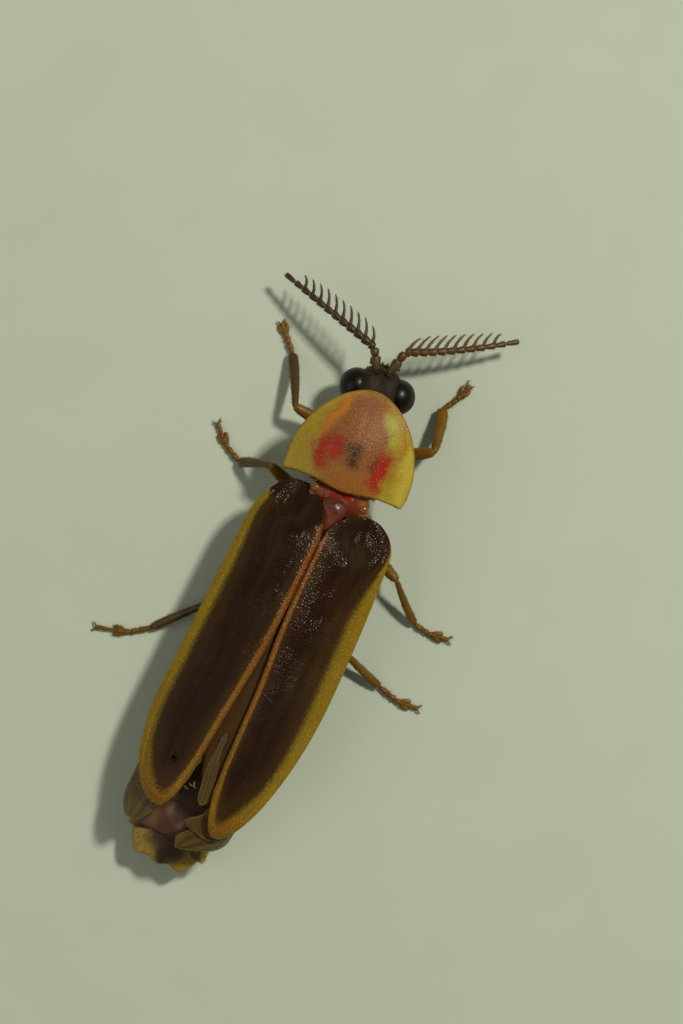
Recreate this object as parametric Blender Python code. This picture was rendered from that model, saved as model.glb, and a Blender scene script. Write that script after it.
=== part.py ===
"""A still, life-size firefly with comb antennae and its wing cases a little apart.

Everything is modelled in millimetres and turned to metres when a piece is finished. While it
is modelled, the head looks along -Y, the insect's left side is +X, the floor is z = 0 and
the two wing cases part from each other on x = 0. The last step puts the origin under the
middle of the whole insect.
"""

import math

import bmesh
import bpy
from mathutils import Matrix, Vector

MILLIMETRE = 0.001

# Gap between two pieces that touch in life, and between small ones
GAP = 0.14
SMALL_GAP = 0.10

# Share of its length that a rounded sheet leaves off at either end, so that no edge is a point
END_SHARE = 0.004

# Wing cases: length, place of the front end and turn about it, then the half widths at both
# ends, their swelling between and the reach of the rounding in front and behind
ELYTRON_LENGTH = 9.78
ELYTRON_FRONT = {"left": (1.16, -1.21), "right": (-1.04, -1.06)}
ELYTRON_TURN = {"left": math.radians(1.45), "right": math.radians(1.05)}
ELYTRON_OUTER_WIDTH = {"left": (0.99, 1.42), "right": (0.80, 1.22)}
ELYTRON_OUTER_BOW = {"left": 0.0, "right": 0.20}
ELYTRON_INNER_WIDTH = {"left": (1.09, 0.46), "right": (1.01, 0.54)}
ELYTRON_INNER_BOW = {"left": 0.07, "right": 0.02}
ELYTRON_OUTER_ROUND = {"left": (1.6, 3.1), "right": (1.0, 5.0)}
ELYTRON_INNER_ROUND = {"left": (1.5, 2.0), "right": (1.3, 2.2)}
ELYTRON_THICK = 0.46
ELYTRON_RIM_THICK = 0.30
ELYTRON_ROLL = 0.05

# Roof: the arched surface that both wing cases share
ROOF_TOP = 3.02
ROOF_FRONT_DROP = 0.42
ROOF_FRONT_END = -1.25
ROOF_FRONT_REACH = 2.6
ROOF_BACK_DROP = 0.50
ROOF_BACK_START = 4.6
ROOF_BACK_END = 8.7
ROOF_HALF_WIDTH = 2.25
ROOF_FALL = 1.18
ROOF_FALL_POWER = 2.3

# Folded hind wings: the y of both ends, then the half-way lines of each edge
WING_ENDS = {"left": (0.0, 9.25), "right": (0.0, 9.42)}
WING_OUTER = {"left": 1.48, "right": -1.50}
WING_INNER = {"left": 0.10, "right": -0.06}
WING_SWELL = 0.40
WING_REACH = (0.9, 0.7)
WING_THICK = 0.26
WING_VEIN_HEIGHT = 0.06
WING_VEIN_COLUMNS = (2, 5, 8)

# Pronotum: the shield over the fore body
PRONOTUM_HIND = (0.08, -1.34)
PRONOTUM_TURN = math.radians(5.4)
PRONOTUM_LENGTH = 2.95
PRONOTUM_HALF_WIDTH = 1.80
PRONOTUM_WIDEST = 0.70
PRONOTUM_RIM = 1.98
PRONOTUM_FRONT_LIFT = 0.30
PRONOTUM_DOME = 0.92
PRONOTUM_THICK = 0.78
PRONOTUM_RIM_THICK = 0.28
PRONOTUM_NOTCH = 0.12
PRONOTUM_NOTCH_AT = 1.1
PRONOTUM_CORNER = (0.05, 0.25)
PRONOTUM_POWERS = (1.75, 0.55)
PRONOTUM_CREST = 0.9

# Head and eyes
HEAD_CENTRE = (0.34, -4.375, 1.38)
HEAD_TURN = math.radians(9.6)
HEAD_RADII = (0.80, 0.66, 0.52)
HEAD_HALF_WIDTH = 0.50
EYE_RADIUS = 0.52
EYE_BASE = HEAD_HALF_WIDTH + SMALL_GAP
ANTENNA_SPREAD = 0.17

# Trunk levels
THORAX_CENTRE_Z = 1.50
THORAX_HALF_HEIGHT = 0.55
THORAX_HALF_WIDTH = 1.52
THORAX_FRONT = -1.22
THORAX_BACK = 2.15
PROTHORAX_HALF_WIDTH = 1.15
PROTHORAX_LENGTH = 1.95
TRUNK_POWER = 2.5
NECK_RADIUS = 0.36

# Cross sections of the fore body (distance ahead, width and height share) and of the thorax
# and an abdomen ring (share of the length, width and height share)
PROTHORAX_RINGS = ((0.10, 0.90, 0.86), (0.30, 1.0, 1.0), (1.20, 1.0, 1.0), (1.75, 0.80, 0.86),
                   (PROTHORAX_LENGTH, 0.62, 0.66))
THORAX_RINGS = ((0.0, 0.72, 0.74), (0.06, 0.84, 0.86), (0.18, 0.95, 0.96), (0.40, 1.0, 1.0),
                (0.70, 1.0, 1.0), (0.90, 0.96, 0.97), (1.0, 0.90, 0.90))
ABDOMEN_HOOPS = ((0.0, 0.92), (0.12, 0.96), (0.6, 1.0), (0.92, 1.03), (1.0, 0.99))

# Plates between the shield and the wing cases
MID_PLATE_LOW = 2.07
MESONOTUM_CENTRE = (0.03, -1.28)
MESONOTUM_RADII = (0.85, 0.26)
SCUTELLUM_ENDS = (-0.92, -0.37)
SCUTELLUM_HALF_BASE = 0.33
SCUTELLUM_TIP_RADIUS = 0.14
PLATE_STEPS = ((1.0, 0.0), (0.72, 0.7), (0.3, 1.0))

# Abdomen
ABDOMEN_RINGS = 7
ABDOMEN_END = 9.16
ABDOMEN_BEND = 0.24
ABDOMEN_HIND_ANGLE = 0.12
PYGIDIUM_LENGTH = 0.80
PYGIDIUM_HALF_WIDTH = 0.96
PYGIDIUM_TAPER = 0.06
PYGIDIUM_BOW = 0.36
PYGIDIUM_DROOP = 0.12
PYGIDIUM_RIM = 0.10
PYGIDIUM_CROWN = (0.26, 0.14)
PYGIDIUM_LOBE = 0.055
PYGIDIUM_LOBE_SPACING = 0.68

# Antennae: the stem's three control points and the lean of its branches
ANTENNA_CURVE = {
    "left": ((0.98, -5.36, 1.62), (2.50, -5.72, 1.45), (4.08, -6.14, 0.95)),
    "right": ((0.15, -5.60, 1.60), (-1.10, -6.16, 1.45), (-2.56, -7.26, 0.92)),
}
ANTENNA_LEAN = {"left": math.radians(-46.0), "right": math.radians(42.0)}
ANTENNA_THICK = (0.23, 0.15)
ANTENNA_TIP = 0.55
SCAPE_THICK = (0.14, 0.20, 0.22, 0.17, 0.21)
SCAPE_SHARES = (0.0, 0.35, 0.62, 0.70, 1.0)
PALP_THICK = (0.12, 0.14, 0.16, 0.07)
COMB_COUNT = 10
COMB_START = 0.16
COMB_LENGTH = 0.62
COMB_SHORTER = 0.25
COMB_THICK = (0.085, 0.045)
COMB_PITCH = 0.275

# Legs
FEMUR_THICK = (0.22, 0.25, 0.21)
TIBIA_THICK = (0.18, 0.21, 0.22)
COXA_THICK = 0.24
FOOT_HEIGHT = 0.17
FOOT_WIDTHS = ((0.0, 0.15), (0.26, 0.19), (0.34, 0.16), (0.52, 0.19), (0.60, 0.16), (0.74, 0.20),
               (0.82, 0.13), (1.0, 0.11))
FOOT_MIDDLE = 0.60
LOBE_THICK = (0.08, 0.11, 0.06)
CLAW_THICK = (0.07, 0.05, 0.02)
COXA_TOP = THORAX_CENTRE_Z - THORAX_HALF_HEIGHT - GAP

# Colour and roughness of each kind of piece
COLOURS = {
    "wing_case": ((0.05, 0.03, 0.02), 0.55),
    "membrane": ((0.10, 0.09, 0.05), 0.4),
    "shield": ((0.60, 0.42, 0.10), 0.4),
    "fore_body": ((0.35, 0.20, 0.08), 0.5),
    "neck": ((0.20, 0.12, 0.07), 0.5),
    "thorax": ((0.16, 0.10, 0.06), 0.5),
    "mesonotum": ((0.30, 0.08, 0.04), 0.5),
    "scutellum": ((0.32, 0.13, 0.09), 0.5),
    "head": ((0.05, 0.04, 0.03), 0.6),
    "eye": ((0.01, 0.01, 0.01), 0.1),
    "leg": ((0.30, 0.16, 0.03), 0.5),
    "feeler": ((0.22, 0.12, 0.03), 0.6),
    "abdomen": ((0.12, 0.07, 0.04), 0.5),
    "tail": ((0.40, 0.25, 0.04), 0.5),
}

# Each leg: hip, trochanter and knee, then ankle, middle of the foot and toe on the floor
LEGS = {
    "fore_left": ((0.47, -2.62), (0.92, -2.84, 0.56), (2.25, -2.95, 1.00),
                  (2.96, -4.26), (3.34, -4.64), (3.60, -4.90)),
    "fore_right": ((-0.32, -2.68), (-0.78, -2.86, 0.56), (-1.76, -3.47, 1.00),
                   (-1.47, -4.66), (-1.74, -5.15), (-1.86, -5.58)),
    "middle_left": ((0.48, -0.55), (0.95, -0.78, 0.56), (2.16, -1.20, 1.28),
                    (2.97, -0.90), (3.50, -1.14), (4.00, -1.62)),
    "middle_right": ((-0.48, -0.55), (-0.95, -0.42, 0.56), (-2.36, 0.16, 0.98),
                     (-3.34, 1.04), (-3.85, 1.13), (-4.40, 1.03)),
    "hind_left": ((0.48, 1.35), (0.92, 1.62, 0.56), (1.78, 2.72, 0.80),
                  (3.20, 4.30), (3.72, 4.70), (4.62, 4.96)),
    "hind_right": ((-0.48, 1.35), (-0.92, 1.60, 0.56), (-1.62, 2.46, 0.80),
                   (-3.22, 3.03), (-3.85, 3.20), (-4.46, 3.12)),
}


def clear_scene():
    """Remove whatever the scene holds."""
    for item in list(bpy.data.objects):
        bpy.data.objects.remove(item, do_unlink=True)


def coat(thing, kind):
    """Give an object its own Principled material, coloured by its kind."""
    colour, roughness = COLOURS[kind]
    material = bpy.data.materials.new(thing.name)
    material.use_nodes = True
    shader = material.node_tree.nodes["Principled BSDF"]
    shader.inputs["Base Color"].default_value = (*colour, 1.0)
    shader.inputs["Roughness"].default_value = roughness
    material.diffuse_color = (*colour, 1.0)
    thing.data.materials.clear()
    thing.data.materials.append(material)
    return thing


def solid(name, points, faces):
    """A mesh object from points in millimetres, its faces turned outwards."""
    mesh = bpy.data.meshes.new(name)
    mesh.from_pydata([tuple(point) for point in points], [], faces)
    shape = bmesh.new()
    shape.from_mesh(mesh)
    bmesh.ops.remove_doubles(shape, verts=shape.verts, dist=1e-5)
    bmesh.ops.recalc_face_normals(shape, faces=shape.faces)
    if shape.calc_volume(signed=True) < 0.0:
        bmesh.ops.reverse_faces(shape, faces=shape.faces)
    shape.to_mesh(mesh)
    shape.free()
    thing = bpy.data.objects.new(name, mesh)
    bpy.context.scene.collection.objects.link(thing)
    return thing


def loft(name, rings):
    """Join rings of equal count into one closed skin with flat ends."""
    count = len(rings[0])
    points = [point for ring in rings for point in ring]
    faces = []
    for row in range(len(rings) - 1):
        for column in range(count):
            following = (column + 1) % count
            low = row * count
            faces.append((low + column, low + following, low + count + following))
            faces.append((low + column, low + count + following, low + count + column))
    last = (len(rings) - 1) * count
    faces.append(tuple(reversed(range(count))))
    faces.append(tuple(last + column for column in range(count)))
    return solid(name, points, faces)


def sheet(name, top, bottom):
    """Close a top grid and a bottom grid of points, split alike, into one thin solid."""
    rows, columns = len(top), len(top[0])
    size = rows * columns
    points = [point for row in top for point in row] + [point for row in bottom for point in row]
    faces = []
    for row in range(rows - 1):
        for column in range(columns - 1):
            corner = row * columns + column
            over = (corner, corner + 1, corner + columns + 1, corner + columns)
            for first, second, third in ((0, 1, 2), (0, 2, 3)):
                faces.append((over[first], over[second], over[third]))
                faces.append((over[third] + size, over[second] + size, over[first] + size))
    edge = [column for column in range(columns)]
    edge += [row * columns + columns - 1 for row in range(1, rows)]
    edge += [(rows - 1) * columns + column for column in range(columns - 2, -1, -1)]
    edge += [row * columns for row in range(rows - 2, 0, -1)]
    for place, corner in enumerate(edge):
        following = edge[(place + 1) % len(edge)]
        faces.append((following, corner, corner + size))
        faces.append((following, corner + size, following + size))
    return solid(name, points, faces)


def ball(name, centre, radii, segments=20, rings=12):
    """An ellipsoid from the sphere primitive."""
    shape = bmesh.new()
    place = Matrix.Translation(centre) @ Matrix.Diagonal((*radii, 1.0))
    bmesh.ops.create_uvsphere(shape, u_segments=segments, v_segments=rings, radius=1.0, matrix=place)
    mesh = bpy.data.meshes.new(name)
    shape.to_mesh(mesh)
    shape.free()
    thing = bpy.data.objects.new(name, mesh)
    bpy.context.scene.collection.objects.link(thing)
    return thing


def trim(thing, point, direction):
    """Cut away what lies past a plane and close the cut."""
    shape = bmesh.new()
    shape.from_mesh(thing.data)
    parts = shape.verts[:] + shape.edges[:] + shape.faces[:]
    cut = bmesh.ops.bisect_plane(shape, geom=parts, plane_co=point, plane_no=direction,
                                 clear_outer=True)
    rim = [item for item in cut["geom_cut"] if isinstance(item, bmesh.types.BMEdge)]
    bmesh.ops.edgeloop_fill(shape, edges=rim)
    bmesh.ops.recalc_face_normals(shape, faces=shape.faces)
    shape.to_mesh(thing.data)
    shape.free()
    return thing


def move(thing, matrix):
    """Place an object's mesh."""
    thing.data.transform(matrix)
    return thing


def keep_largest(mesh):
    """Keep the closed surface with the greatest box and drop the others."""
    shape = bmesh.new()
    shape.from_mesh(mesh)
    bmesh.ops.remove_doubles(shape, verts=shape.verts, dist=2e-4)
    bmesh.ops.dissolve_degenerate(shape, edges=shape.edges, dist=2e-4)
    bmesh.ops.triangulate(shape, faces=shape.faces)
    left = set(shape.faces)
    islands = []
    while left:
        stack = [left.pop()]
        island = set(stack)
        while stack:
            face = stack.pop()
            for edge in face.edges:
                for other in edge.link_faces:
                    if other in left:
                        left.remove(other)
                        island.add(other)
                        stack.append(other)
        islands.append(island)
    islands.sort(key=lambda faces: sum(face.calc_area() for face in faces))
    for island in islands[:-1]:
        bmesh.ops.delete(shape, geom=list(island), context="FACES")
    bmesh.ops.delete(shape, geom=[point for point in shape.verts if not point.link_faces],
                     context="VERTS")
    shape.to_mesh(mesh)
    shape.free()


def fuse(name, pieces):
    """One closed body from overlapping closed pieces."""
    base = pieces[0]
    base.name = name
    group = bpy.data.collections.new(name + "_pieces")
    bpy.context.scene.collection.children.link(group)
    for piece in pieces[1:]:
        group.objects.link(piece)
    union = base.modifiers.new("union", "BOOLEAN")
    union.operation = "UNION"
    union.operand_type = "COLLECTION"
    union.collection = group
    union.solver = "EXACT"
    bpy.context.view_layer.update()
    joined = bpy.data.meshes.new_from_object(base.evaluated_get(bpy.context.evaluated_depsgraph_get()))
    base.modifiers.clear()
    base.data = joined
    for piece in pieces[1:]:
        bpy.data.objects.remove(piece, do_unlink=True)
    bpy.data.collections.remove(group)
    keep_largest(joined)
    return base


def mix(pair, share):
    """The value between two ends."""
    return pair[0] + (pair[1] - pair[0]) * share


def smooth(value):
    """Ease from 0 to 1."""
    value = max(0.0, min(1.0, value))
    return value * value * (3.0 - 2.0 * value)


def round_end(distance, reach):
    """Quarter-ellipse growth of a width over a reach from an end."""
    if distance >= reach:
        return 1.0
    return math.sqrt(max(0.0, 1.0 - ((reach - distance) / reach) ** 2))


def spread(steps):
    """Places from 0 to 1 that crowd towards both ends."""
    return [(1.0 - math.cos(math.pi * step / steps)) / 2.0 for step in range(steps + 1)]


def roof(x, y):
    """Height of the wing cases' outer surface."""
    top = ROOF_TOP
    front = 1.0 - (y - ROOF_FRONT_END) / ROOF_FRONT_REACH
    if front > 0.0:
        top -= ROOF_FRONT_DROP * front ** 2
    back = (y - ROOF_BACK_START) / (ROOF_BACK_END - ROOF_BACK_START)
    if back > 0.0:
        top -= ROOF_BACK_DROP * back ** 2
    return top - ROOF_FALL * (abs(x) / ROOF_HALF_WIDTH) ** ROOF_FALL_POWER


def under_wings(x, y):
    """Highest level that the trunk may reach beneath the folded wings."""
    return roof(x, y) - ELYTRON_THICK - SMALL_GAP - WING_THICK - WING_VEIN_HEIGHT - SMALL_GAP


def elytron_widths(side, along):
    """Inner and outer half widths of a wing case at a distance along it."""
    behind = ELYTRON_LENGTH - along
    share = along / ELYTRON_LENGTH
    swell = 4.0 * share * (1.0 - share)
    widths = []
    for width, bow, rounding in (
            (ELYTRON_INNER_WIDTH, ELYTRON_INNER_BOW, ELYTRON_INNER_ROUND),
            (ELYTRON_OUTER_WIDTH, ELYTRON_OUTER_BOW, ELYTRON_OUTER_ROUND)):
        front, back = rounding[side]
        half = mix(width[side], share) + bow[side] * swell
        widths.append(half * round_end(along, front) * round_end(behind, back))
    return widths


def elytron(side):
    """One wing case: a thin arched shell, rounded at both ends."""
    sign = 1.0 if side == "left" else -1.0
    front, turn = ELYTRON_FRONT[side], ELYTRON_TURN[side]
    columns, rows = 12, 26
    top, bottom = [], []
    for share in spread(rows):
        along = max(END_SHARE, min(1.0 - END_SHARE, share)) * ELYTRON_LENGTH
        inner, outer = elytron_widths(side, along)
        top_row, bottom_row = [], []
        for column in range(columns + 1):
            across = column / columns
            aside = -inner + (inner + outer) * across
            x = front[0] + sign * (aside * math.cos(turn) - along * math.sin(turn))
            y = front[1] + along * math.cos(turn) + aside * math.sin(turn)
            edge = max(0.0, 2.0 * abs(across - 0.5)) ** 3
            height = roof(x, y) - ELYTRON_ROLL * edge
            thick = mix((ELYTRON_THICK, ELYTRON_RIM_THICK), edge)
            top_row.append((x, y, height))
            bottom_row.append((x, y, height - thick))
        top.append(top_row)
        bottom.append(bottom_row)
    return coat(sheet("elytron_" + side, top, bottom), "wing_case")


def wing_edges(side, share):
    """Place along, outer and inner edge of a folded hind wing at a share of its length."""
    start, end = WING_ENDS[side]
    swell = WING_SWELL * smooth(share * 2.0)
    if side == "left":
        outer = WING_OUTER[side] + swell
        inner = WING_INNER[side] + 0.06 * share + 0.85 * smooth((share - 0.72) / 0.28)
    else:
        outer = WING_OUTER[side] - swell + 0.80 * smooth((share - 0.70) / 0.30)
        inner = WING_INNER[side] - 0.08 * share + 0.16 * smooth((share - 0.85) / 0.15)
    middle = (outer + inner) / 2.0
    along = share * (end - start)
    rounding = round_end(along, WING_REACH[0]) * round_end(end - start - along, WING_REACH[1])
    return start + along, middle + (outer - middle) * rounding, middle + (inner - middle) * rounding


def hind_wing(side):
    """One folded hind wing under its case, its main veins raised along it."""
    columns, rows = 10, 22
    top, bottom = [], []
    for share in spread(rows):
        y, outer, inner = wing_edges(side, max(END_SHARE, min(1.0 - END_SHARE, share)))
        fading = smooth(share * 6.0) * smooth((1.0 - share) * 6.0)
        top_row, bottom_row = [], []
        for column in range(columns + 1):
            x = inner + (outer - inner) * column / columns
            low = under_wings(x, y) + SMALL_GAP
            vein = WING_VEIN_HEIGHT * fading if column in WING_VEIN_COLUMNS else 0.0
            top_row.append((x, y, low + WING_THICK + vein))
            bottom_row.append((x, y, low))
        top.append(top_row)
        bottom.append(bottom_row)
    return coat(sheet("hind_wing_" + side, top, bottom), "membrane")


def pronotum_place():
    """Frame of the fore body: turned a little to the insect's left about its hind edge."""
    return Matrix.Translation((PRONOTUM_HIND[0], PRONOTUM_HIND[1], 0.0)) @ Matrix.Rotation(
        PRONOTUM_TURN, 4, "Z")


def pronotum_half_width(ahead):
    """Half width of the shield at a distance ahead of its hind edge."""
    past = (ahead - PRONOTUM_WIDEST) / (PRONOTUM_LENGTH - PRONOTUM_WIDEST)
    if past <= 0.0:
        drop, reach = PRONOTUM_CORNER
        return PRONOTUM_HALF_WIDTH - drop * max(0.0, 1.0 - ahead / reach) ** 2
    rise, root = PRONOTUM_POWERS
    return PRONOTUM_HALF_WIDTH * max(0.0, 1.0 - past ** rise) ** root


def pronotum_height(aside, ahead):
    """Height of the shield's outer surface, domed with spread margins."""
    lift = PRONOTUM_FRONT_LIFT * smooth(ahead / PRONOTUM_LENGTH)
    lengthwise = 1.0 - 0.22 * max(0.0, 1.0 - ahead / PRONOTUM_CREST) ** 2
    past = max(0.0, (ahead - PRONOTUM_CREST) / (PRONOTUM_LENGTH - PRONOTUM_CREST))
    lengthwise *= 1.0 - 0.92 * past ** 2.2
    across = max(0.0, 1.0 - (abs(aside) / PRONOTUM_HALF_WIDTH) ** 1.8)
    return PRONOTUM_RIM + lift + PRONOTUM_DOME * across * lengthwise


def pronotum():
    """The shield over the fore body, thick in the middle and thin at its rim."""
    columns, rows = 18, 16
    top, bottom = [], []
    for row in range(rows + 1):
        share = math.sin(0.5 * math.pi * row / rows)
        ahead = min(0.998, share) * PRONOTUM_LENGTH
        width = pronotum_half_width(ahead)
        top_row, bottom_row = [], []
        for column in range(columns + 1):
            across = -math.cos(math.pi * column / columns)
            aside = across * width
            notch = PRONOTUM_NOTCH * smooth(min(abs(aside), PRONOTUM_NOTCH_AT) / PRONOTUM_NOTCH_AT)
            forward = ahead + notch * (1.0 - share) ** 2
            height = pronotum_height(aside, forward)
            middle = (1.0 - abs(across) ** 2.5) * (1.0 - share ** 4) * smooth(forward / 0.6)
            thick = PRONOTUM_RIM_THICK + (PRONOTUM_THICK - PRONOTUM_RIM_THICK) * middle
            top_row.append((aside, -forward, height))
            bottom_row.append((aside, -forward, height - thick))
        top.append(top_row)
        bottom.append(bottom_row)
    shield = sheet("pronotum", top, bottom)
    return coat(move(shield, pronotum_place()), "shield")


def trunk_ring(centre, half_width, half_height, y, limit=None, sides=24):
    """A rounded-box cross section of the trunk, held below a limit."""
    ring = []
    for side in range(sides):
        angle = 2.0 * math.pi * side / sides
        cosine, sine = math.cos(angle), math.sin(angle)
        x = centre[0] + half_width * math.copysign(abs(cosine) ** (2.0 / TRUNK_POWER), cosine)
        z = centre[1] + half_height * math.copysign(abs(sine) ** (2.0 / TRUNK_POWER), sine)
        if limit and z > centre[1]:
            z = max(centre[1] + 0.04 * sine, min(z, limit(x, y)))
        ring.append((x, y, z))
    return ring


def prothorax():
    """The body under the shield, which carries the fore legs."""
    rings = []
    for ahead, width, height in PROTHORAX_RINGS:
        rings.append(trunk_ring((0.0, THORAX_CENTRE_Z), PROTHORAX_HALF_WIDTH * width,
                                THORAX_HALF_HEIGHT * height, -ahead,
                                lambda x, y: pronotum_underside(x, -y) - SMALL_GAP))
    block = loft("prothorax", rings)
    return coat(move(block, pronotum_place()), "fore_body")


def pronotum_underside(aside, ahead):
    """Lowest level of the shield above a point of the fore body."""
    return pronotum_height(aside, ahead) - PRONOTUM_THICK


def neck():
    """The short neck between the head and the fore body."""
    start = pronotum_place() @ Vector((0.02, -PROTHORAX_LENGTH - SMALL_GAP, THORAX_CENTRE_Z - 0.06))
    head_back = head_place() @ Vector((0.0, 0.78, 0.0))
    return coat(limb("neck", [start, head_back], [NECK_RADIUS] * 2, sides=16), "neck")


def thorax():
    """The hind two rings of the thorax, which carry the wings and four legs."""
    rings = []
    length = THORAX_BACK - THORAX_FRONT
    for share, width, height in THORAX_RINGS:
        rings.append(trunk_ring((0.0, THORAX_CENTRE_Z), THORAX_HALF_WIDTH * width,
                                THORAX_HALF_HEIGHT * height, THORAX_FRONT + length * share,
                                under_wings))
    return coat(loft("thorax", rings), "thorax")


def plate(name, outline, top, bottom, dome):
    """A small domed plate: an outline, two inner rings and a raised middle."""
    middle = Vector((sum(point[0] for point in outline) / len(outline),
                     sum(point[1] for point in outline) / len(outline)))
    rings = [[(*point, bottom) for point in outline]]
    for scale, rise in PLATE_STEPS:
        rings.append([(middle.x + (point[0] - middle.x) * scale,
                       middle.y + (point[1] - middle.y) * scale, top + dome * rise)
                      for point in outline])
    return coat(loft(name, rings), name)


def mesonotum():
    """The glossy plate that shows between the shield and the wing cases."""
    outline = []
    for step in range(20):
        angle = 2.0 * math.pi * step / 20
        outline.append((MESONOTUM_CENTRE[0] + MESONOTUM_RADII[0] * math.cos(angle),
                        MESONOTUM_CENTRE[1] + MESONOTUM_RADII[1] * math.sin(angle)))
    return plate("mesonotum", outline, MID_PLATE_LOW + 0.06, MID_PLATE_LOW, 0.20)


def scutellum():
    """The tongue-shaped plate between the bases of the wing cases."""
    base, apex = SCUTELLUM_ENDS
    outline = []
    for step in range(7):
        angle = math.pi * step / 6
        outline.append((MESONOTUM_CENTRE[0] + SCUTELLUM_TIP_RADIUS * math.cos(angle),
                        apex - SCUTELLUM_TIP_RADIUS + SCUTELLUM_TIP_RADIUS * math.sin(angle)))
    for share in spread(4):
        outline.append((MESONOTUM_CENTRE[0] - SCUTELLUM_HALF_BASE + 2.0 * SCUTELLUM_HALF_BASE * share, base))
    return plate("scutellum", outline, MID_PLATE_LOW + 0.34, MID_PLATE_LOW + 0.02, 0.08)


def head_place():
    """Frame of the head: +X to the insect's left, -Y ahead."""
    return Matrix.Translation(HEAD_CENTRE) @ Matrix.Rotation(HEAD_TURN, 4, "Z")


def head():
    """The head capsule: a flattened ball cut flat where the eyes sit, with two antennal bosses."""
    capsule = ball("capsule", (0.0, 0.0, 0.0), HEAD_RADII, 28, 16)
    for side in (-1.0, 1.0):
        trim(capsule, (side * HEAD_HALF_WIDTH, 0.0, 0.0), (side, 0.0, 0.0))
    pieces = [capsule]
    for side in (-1.0, 1.0):
        pieces.append(ball("boss", (side * ANTENNA_SPREAD, -0.50, 0.24), (0.17, 0.17, 0.15), 12, 8))
    pieces.append(ball("snout", (0.0, -0.46, -0.22), (0.34, 0.26, 0.22), 16, 8))
    capsule = fuse("head", pieces)
    return coat(move(capsule, head_place()), "head")


def eye(side):
    """A big half ball on the side of the head."""
    sign = 1.0 if side == "left" else -1.0
    dome = ball("eye_" + side, (sign * EYE_BASE, 0.0, 0.0), (EYE_RADIUS,) * 3, 20, 14)
    trim(dome, (sign * EYE_BASE, 0.0, 0.0), (-sign, 0.0, 0.0))
    return coat(move(dome, head_place()), "eye")


def hoop(point, ahead, aside, thick, sides, flat=1.0):
    """A ring of points around a place, facing along a direction."""
    upward = aside.cross(ahead)
    ring = []
    for side in range(sides):
        angle = 2.0 * math.pi * (side + 0.5) / sides
        ring.append(point + aside * (math.cos(angle) * thick) + upward * (math.sin(angle) * thick * flat))
    return ring


def mitre(ring, direction, point, normal):
    """Slide the ring's points along a direction until they lie in a plane."""
    normal = Vector(normal)
    fall = direction.dot(normal)
    return [point_on + direction * ((Vector(point) - point_on).dot(normal) / fall)
            for point_on in ring]


def limb(name, path, thick, sides=10, flat=1.0, start_cut=None, end_cut=None, floor=None):
    """A tube of changing thickness along a path, its ends cut by planes where these are given."""
    path = [Vector(point) for point in path]
    rings = []
    for place, point in enumerate(path):
        before = path[max(0, place - 1)]
        after = path[min(len(path) - 1, place + 1)]
        ahead = (after - before).normalized()
        aside = ahead.cross(Vector((0.0, 0.0, 1.0)))
        aside = aside.normalized() if aside.length > 1e-6 else Vector((1.0, 0.0, 0.0))
        ring = hoop(point, ahead, aside, thick[place], sides, flat)
        if place == 0 and start_cut:
            ring = mitre(ring, ahead, *start_cut)
        if place == len(path) - 1 and end_cut:
            ring = mitre(ring, ahead, *end_cut)
        if floor is not None:
            ring = [Vector((spot.x, spot.y, max(floor, spot.z))) for spot in ring]
        rings.append(ring)
    return loft(name, rings)


def joint_cut(before, at, after, gap):
    """Planes that end the piece before a joint and start the one after it, a gap apart."""
    before, at, after = Vector(before), Vector(at), Vector(after)
    normal = ((at - before).normalized() + (after - at).normalized()).normalized()
    return (at - normal * gap / 2.0, normal), (at + normal * gap / 2.0, normal)


def foot(name, ankle, middle, toe):
    """Five foot joints flat on the floor, the fourth with two lobes, and two claws."""
    ankle, middle, toe = Vector(ankle), Vector(middle), Vector(toe)
    ahead = (toe - middle).normalized()
    aside = Vector((-ahead.y, ahead.x, 0.0))
    path, thick = [], []
    for share, width in FOOT_WIDTHS:
        if share < FOOT_MIDDLE:
            along = ankle.lerp(middle, share / FOOT_MIDDLE)
        else:
            along = middle.lerp(toe, (share - FOOT_MIDDLE) / (1.0 - FOOT_MIDDLE))
        path.append(Vector((along.x, along.y, FOOT_HEIGHT)))
        thick.append(width)
    pieces = [limb(name, path, thick, sides=8, flat=0.95, floor=0.0)]
    lobe_at = middle.lerp(toe, 0.30)
    for side in (-1.0, 1.0):
        start = lobe_at + Vector((0.0, 0.0, 0.11)) + aside * side * 0.05
        end = start + ahead * 0.20 + aside * side * 0.16 - Vector((0.0, 0.0, 0.02))
        pieces.append(limb(name + "_lobe", [start, (start + end) / 2.0, end], LOBE_THICK,
                           sides=6, flat=0.8, floor=0.0))
        root = toe + Vector((0.0, 0.0, 0.14)) - ahead * 0.05
        bend = root + ahead * 0.13 + aside * side * 0.10
        tip = bend + ahead * 0.10 + aside * side * 0.04 - Vector((0.0, 0.0, 0.10))
        pieces.append(limb(name + "_claw", [root, bend, tip], CLAW_THICK, sides=5, floor=0.0))
    return fuse(name, pieces)


def coxa(name, hip, trochanter, end_cut):
    """The hip joint: an elbow from a flat under the trunk out to the thigh."""
    down = Vector((0.0, 0.0, -1.0))
    outward = Vector((trochanter.x - hip.x, trochanter.y - hip.y, 0.0)).normalized()
    aside = outward.cross(Vector((0.0, 0.0, 1.0)))
    point, normal = end_cut
    slant = (outward + down).normalized()
    elbow = hip.lerp(trochanter, 0.42) - Vector((0.0, 0.0, 0.06))
    normal_aside = normal.cross(Vector((0.0, 0.0, 1.0))).normalized()
    rings = [hoop(hip, down, aside, COXA_THICK, 12),
             hoop(elbow, slant, aside, COXA_THICK * 1.05, 12),
             hoop(point, normal, normal_aside, COXA_THICK * 0.86, 12)]
    return loft(name, rings)


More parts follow.
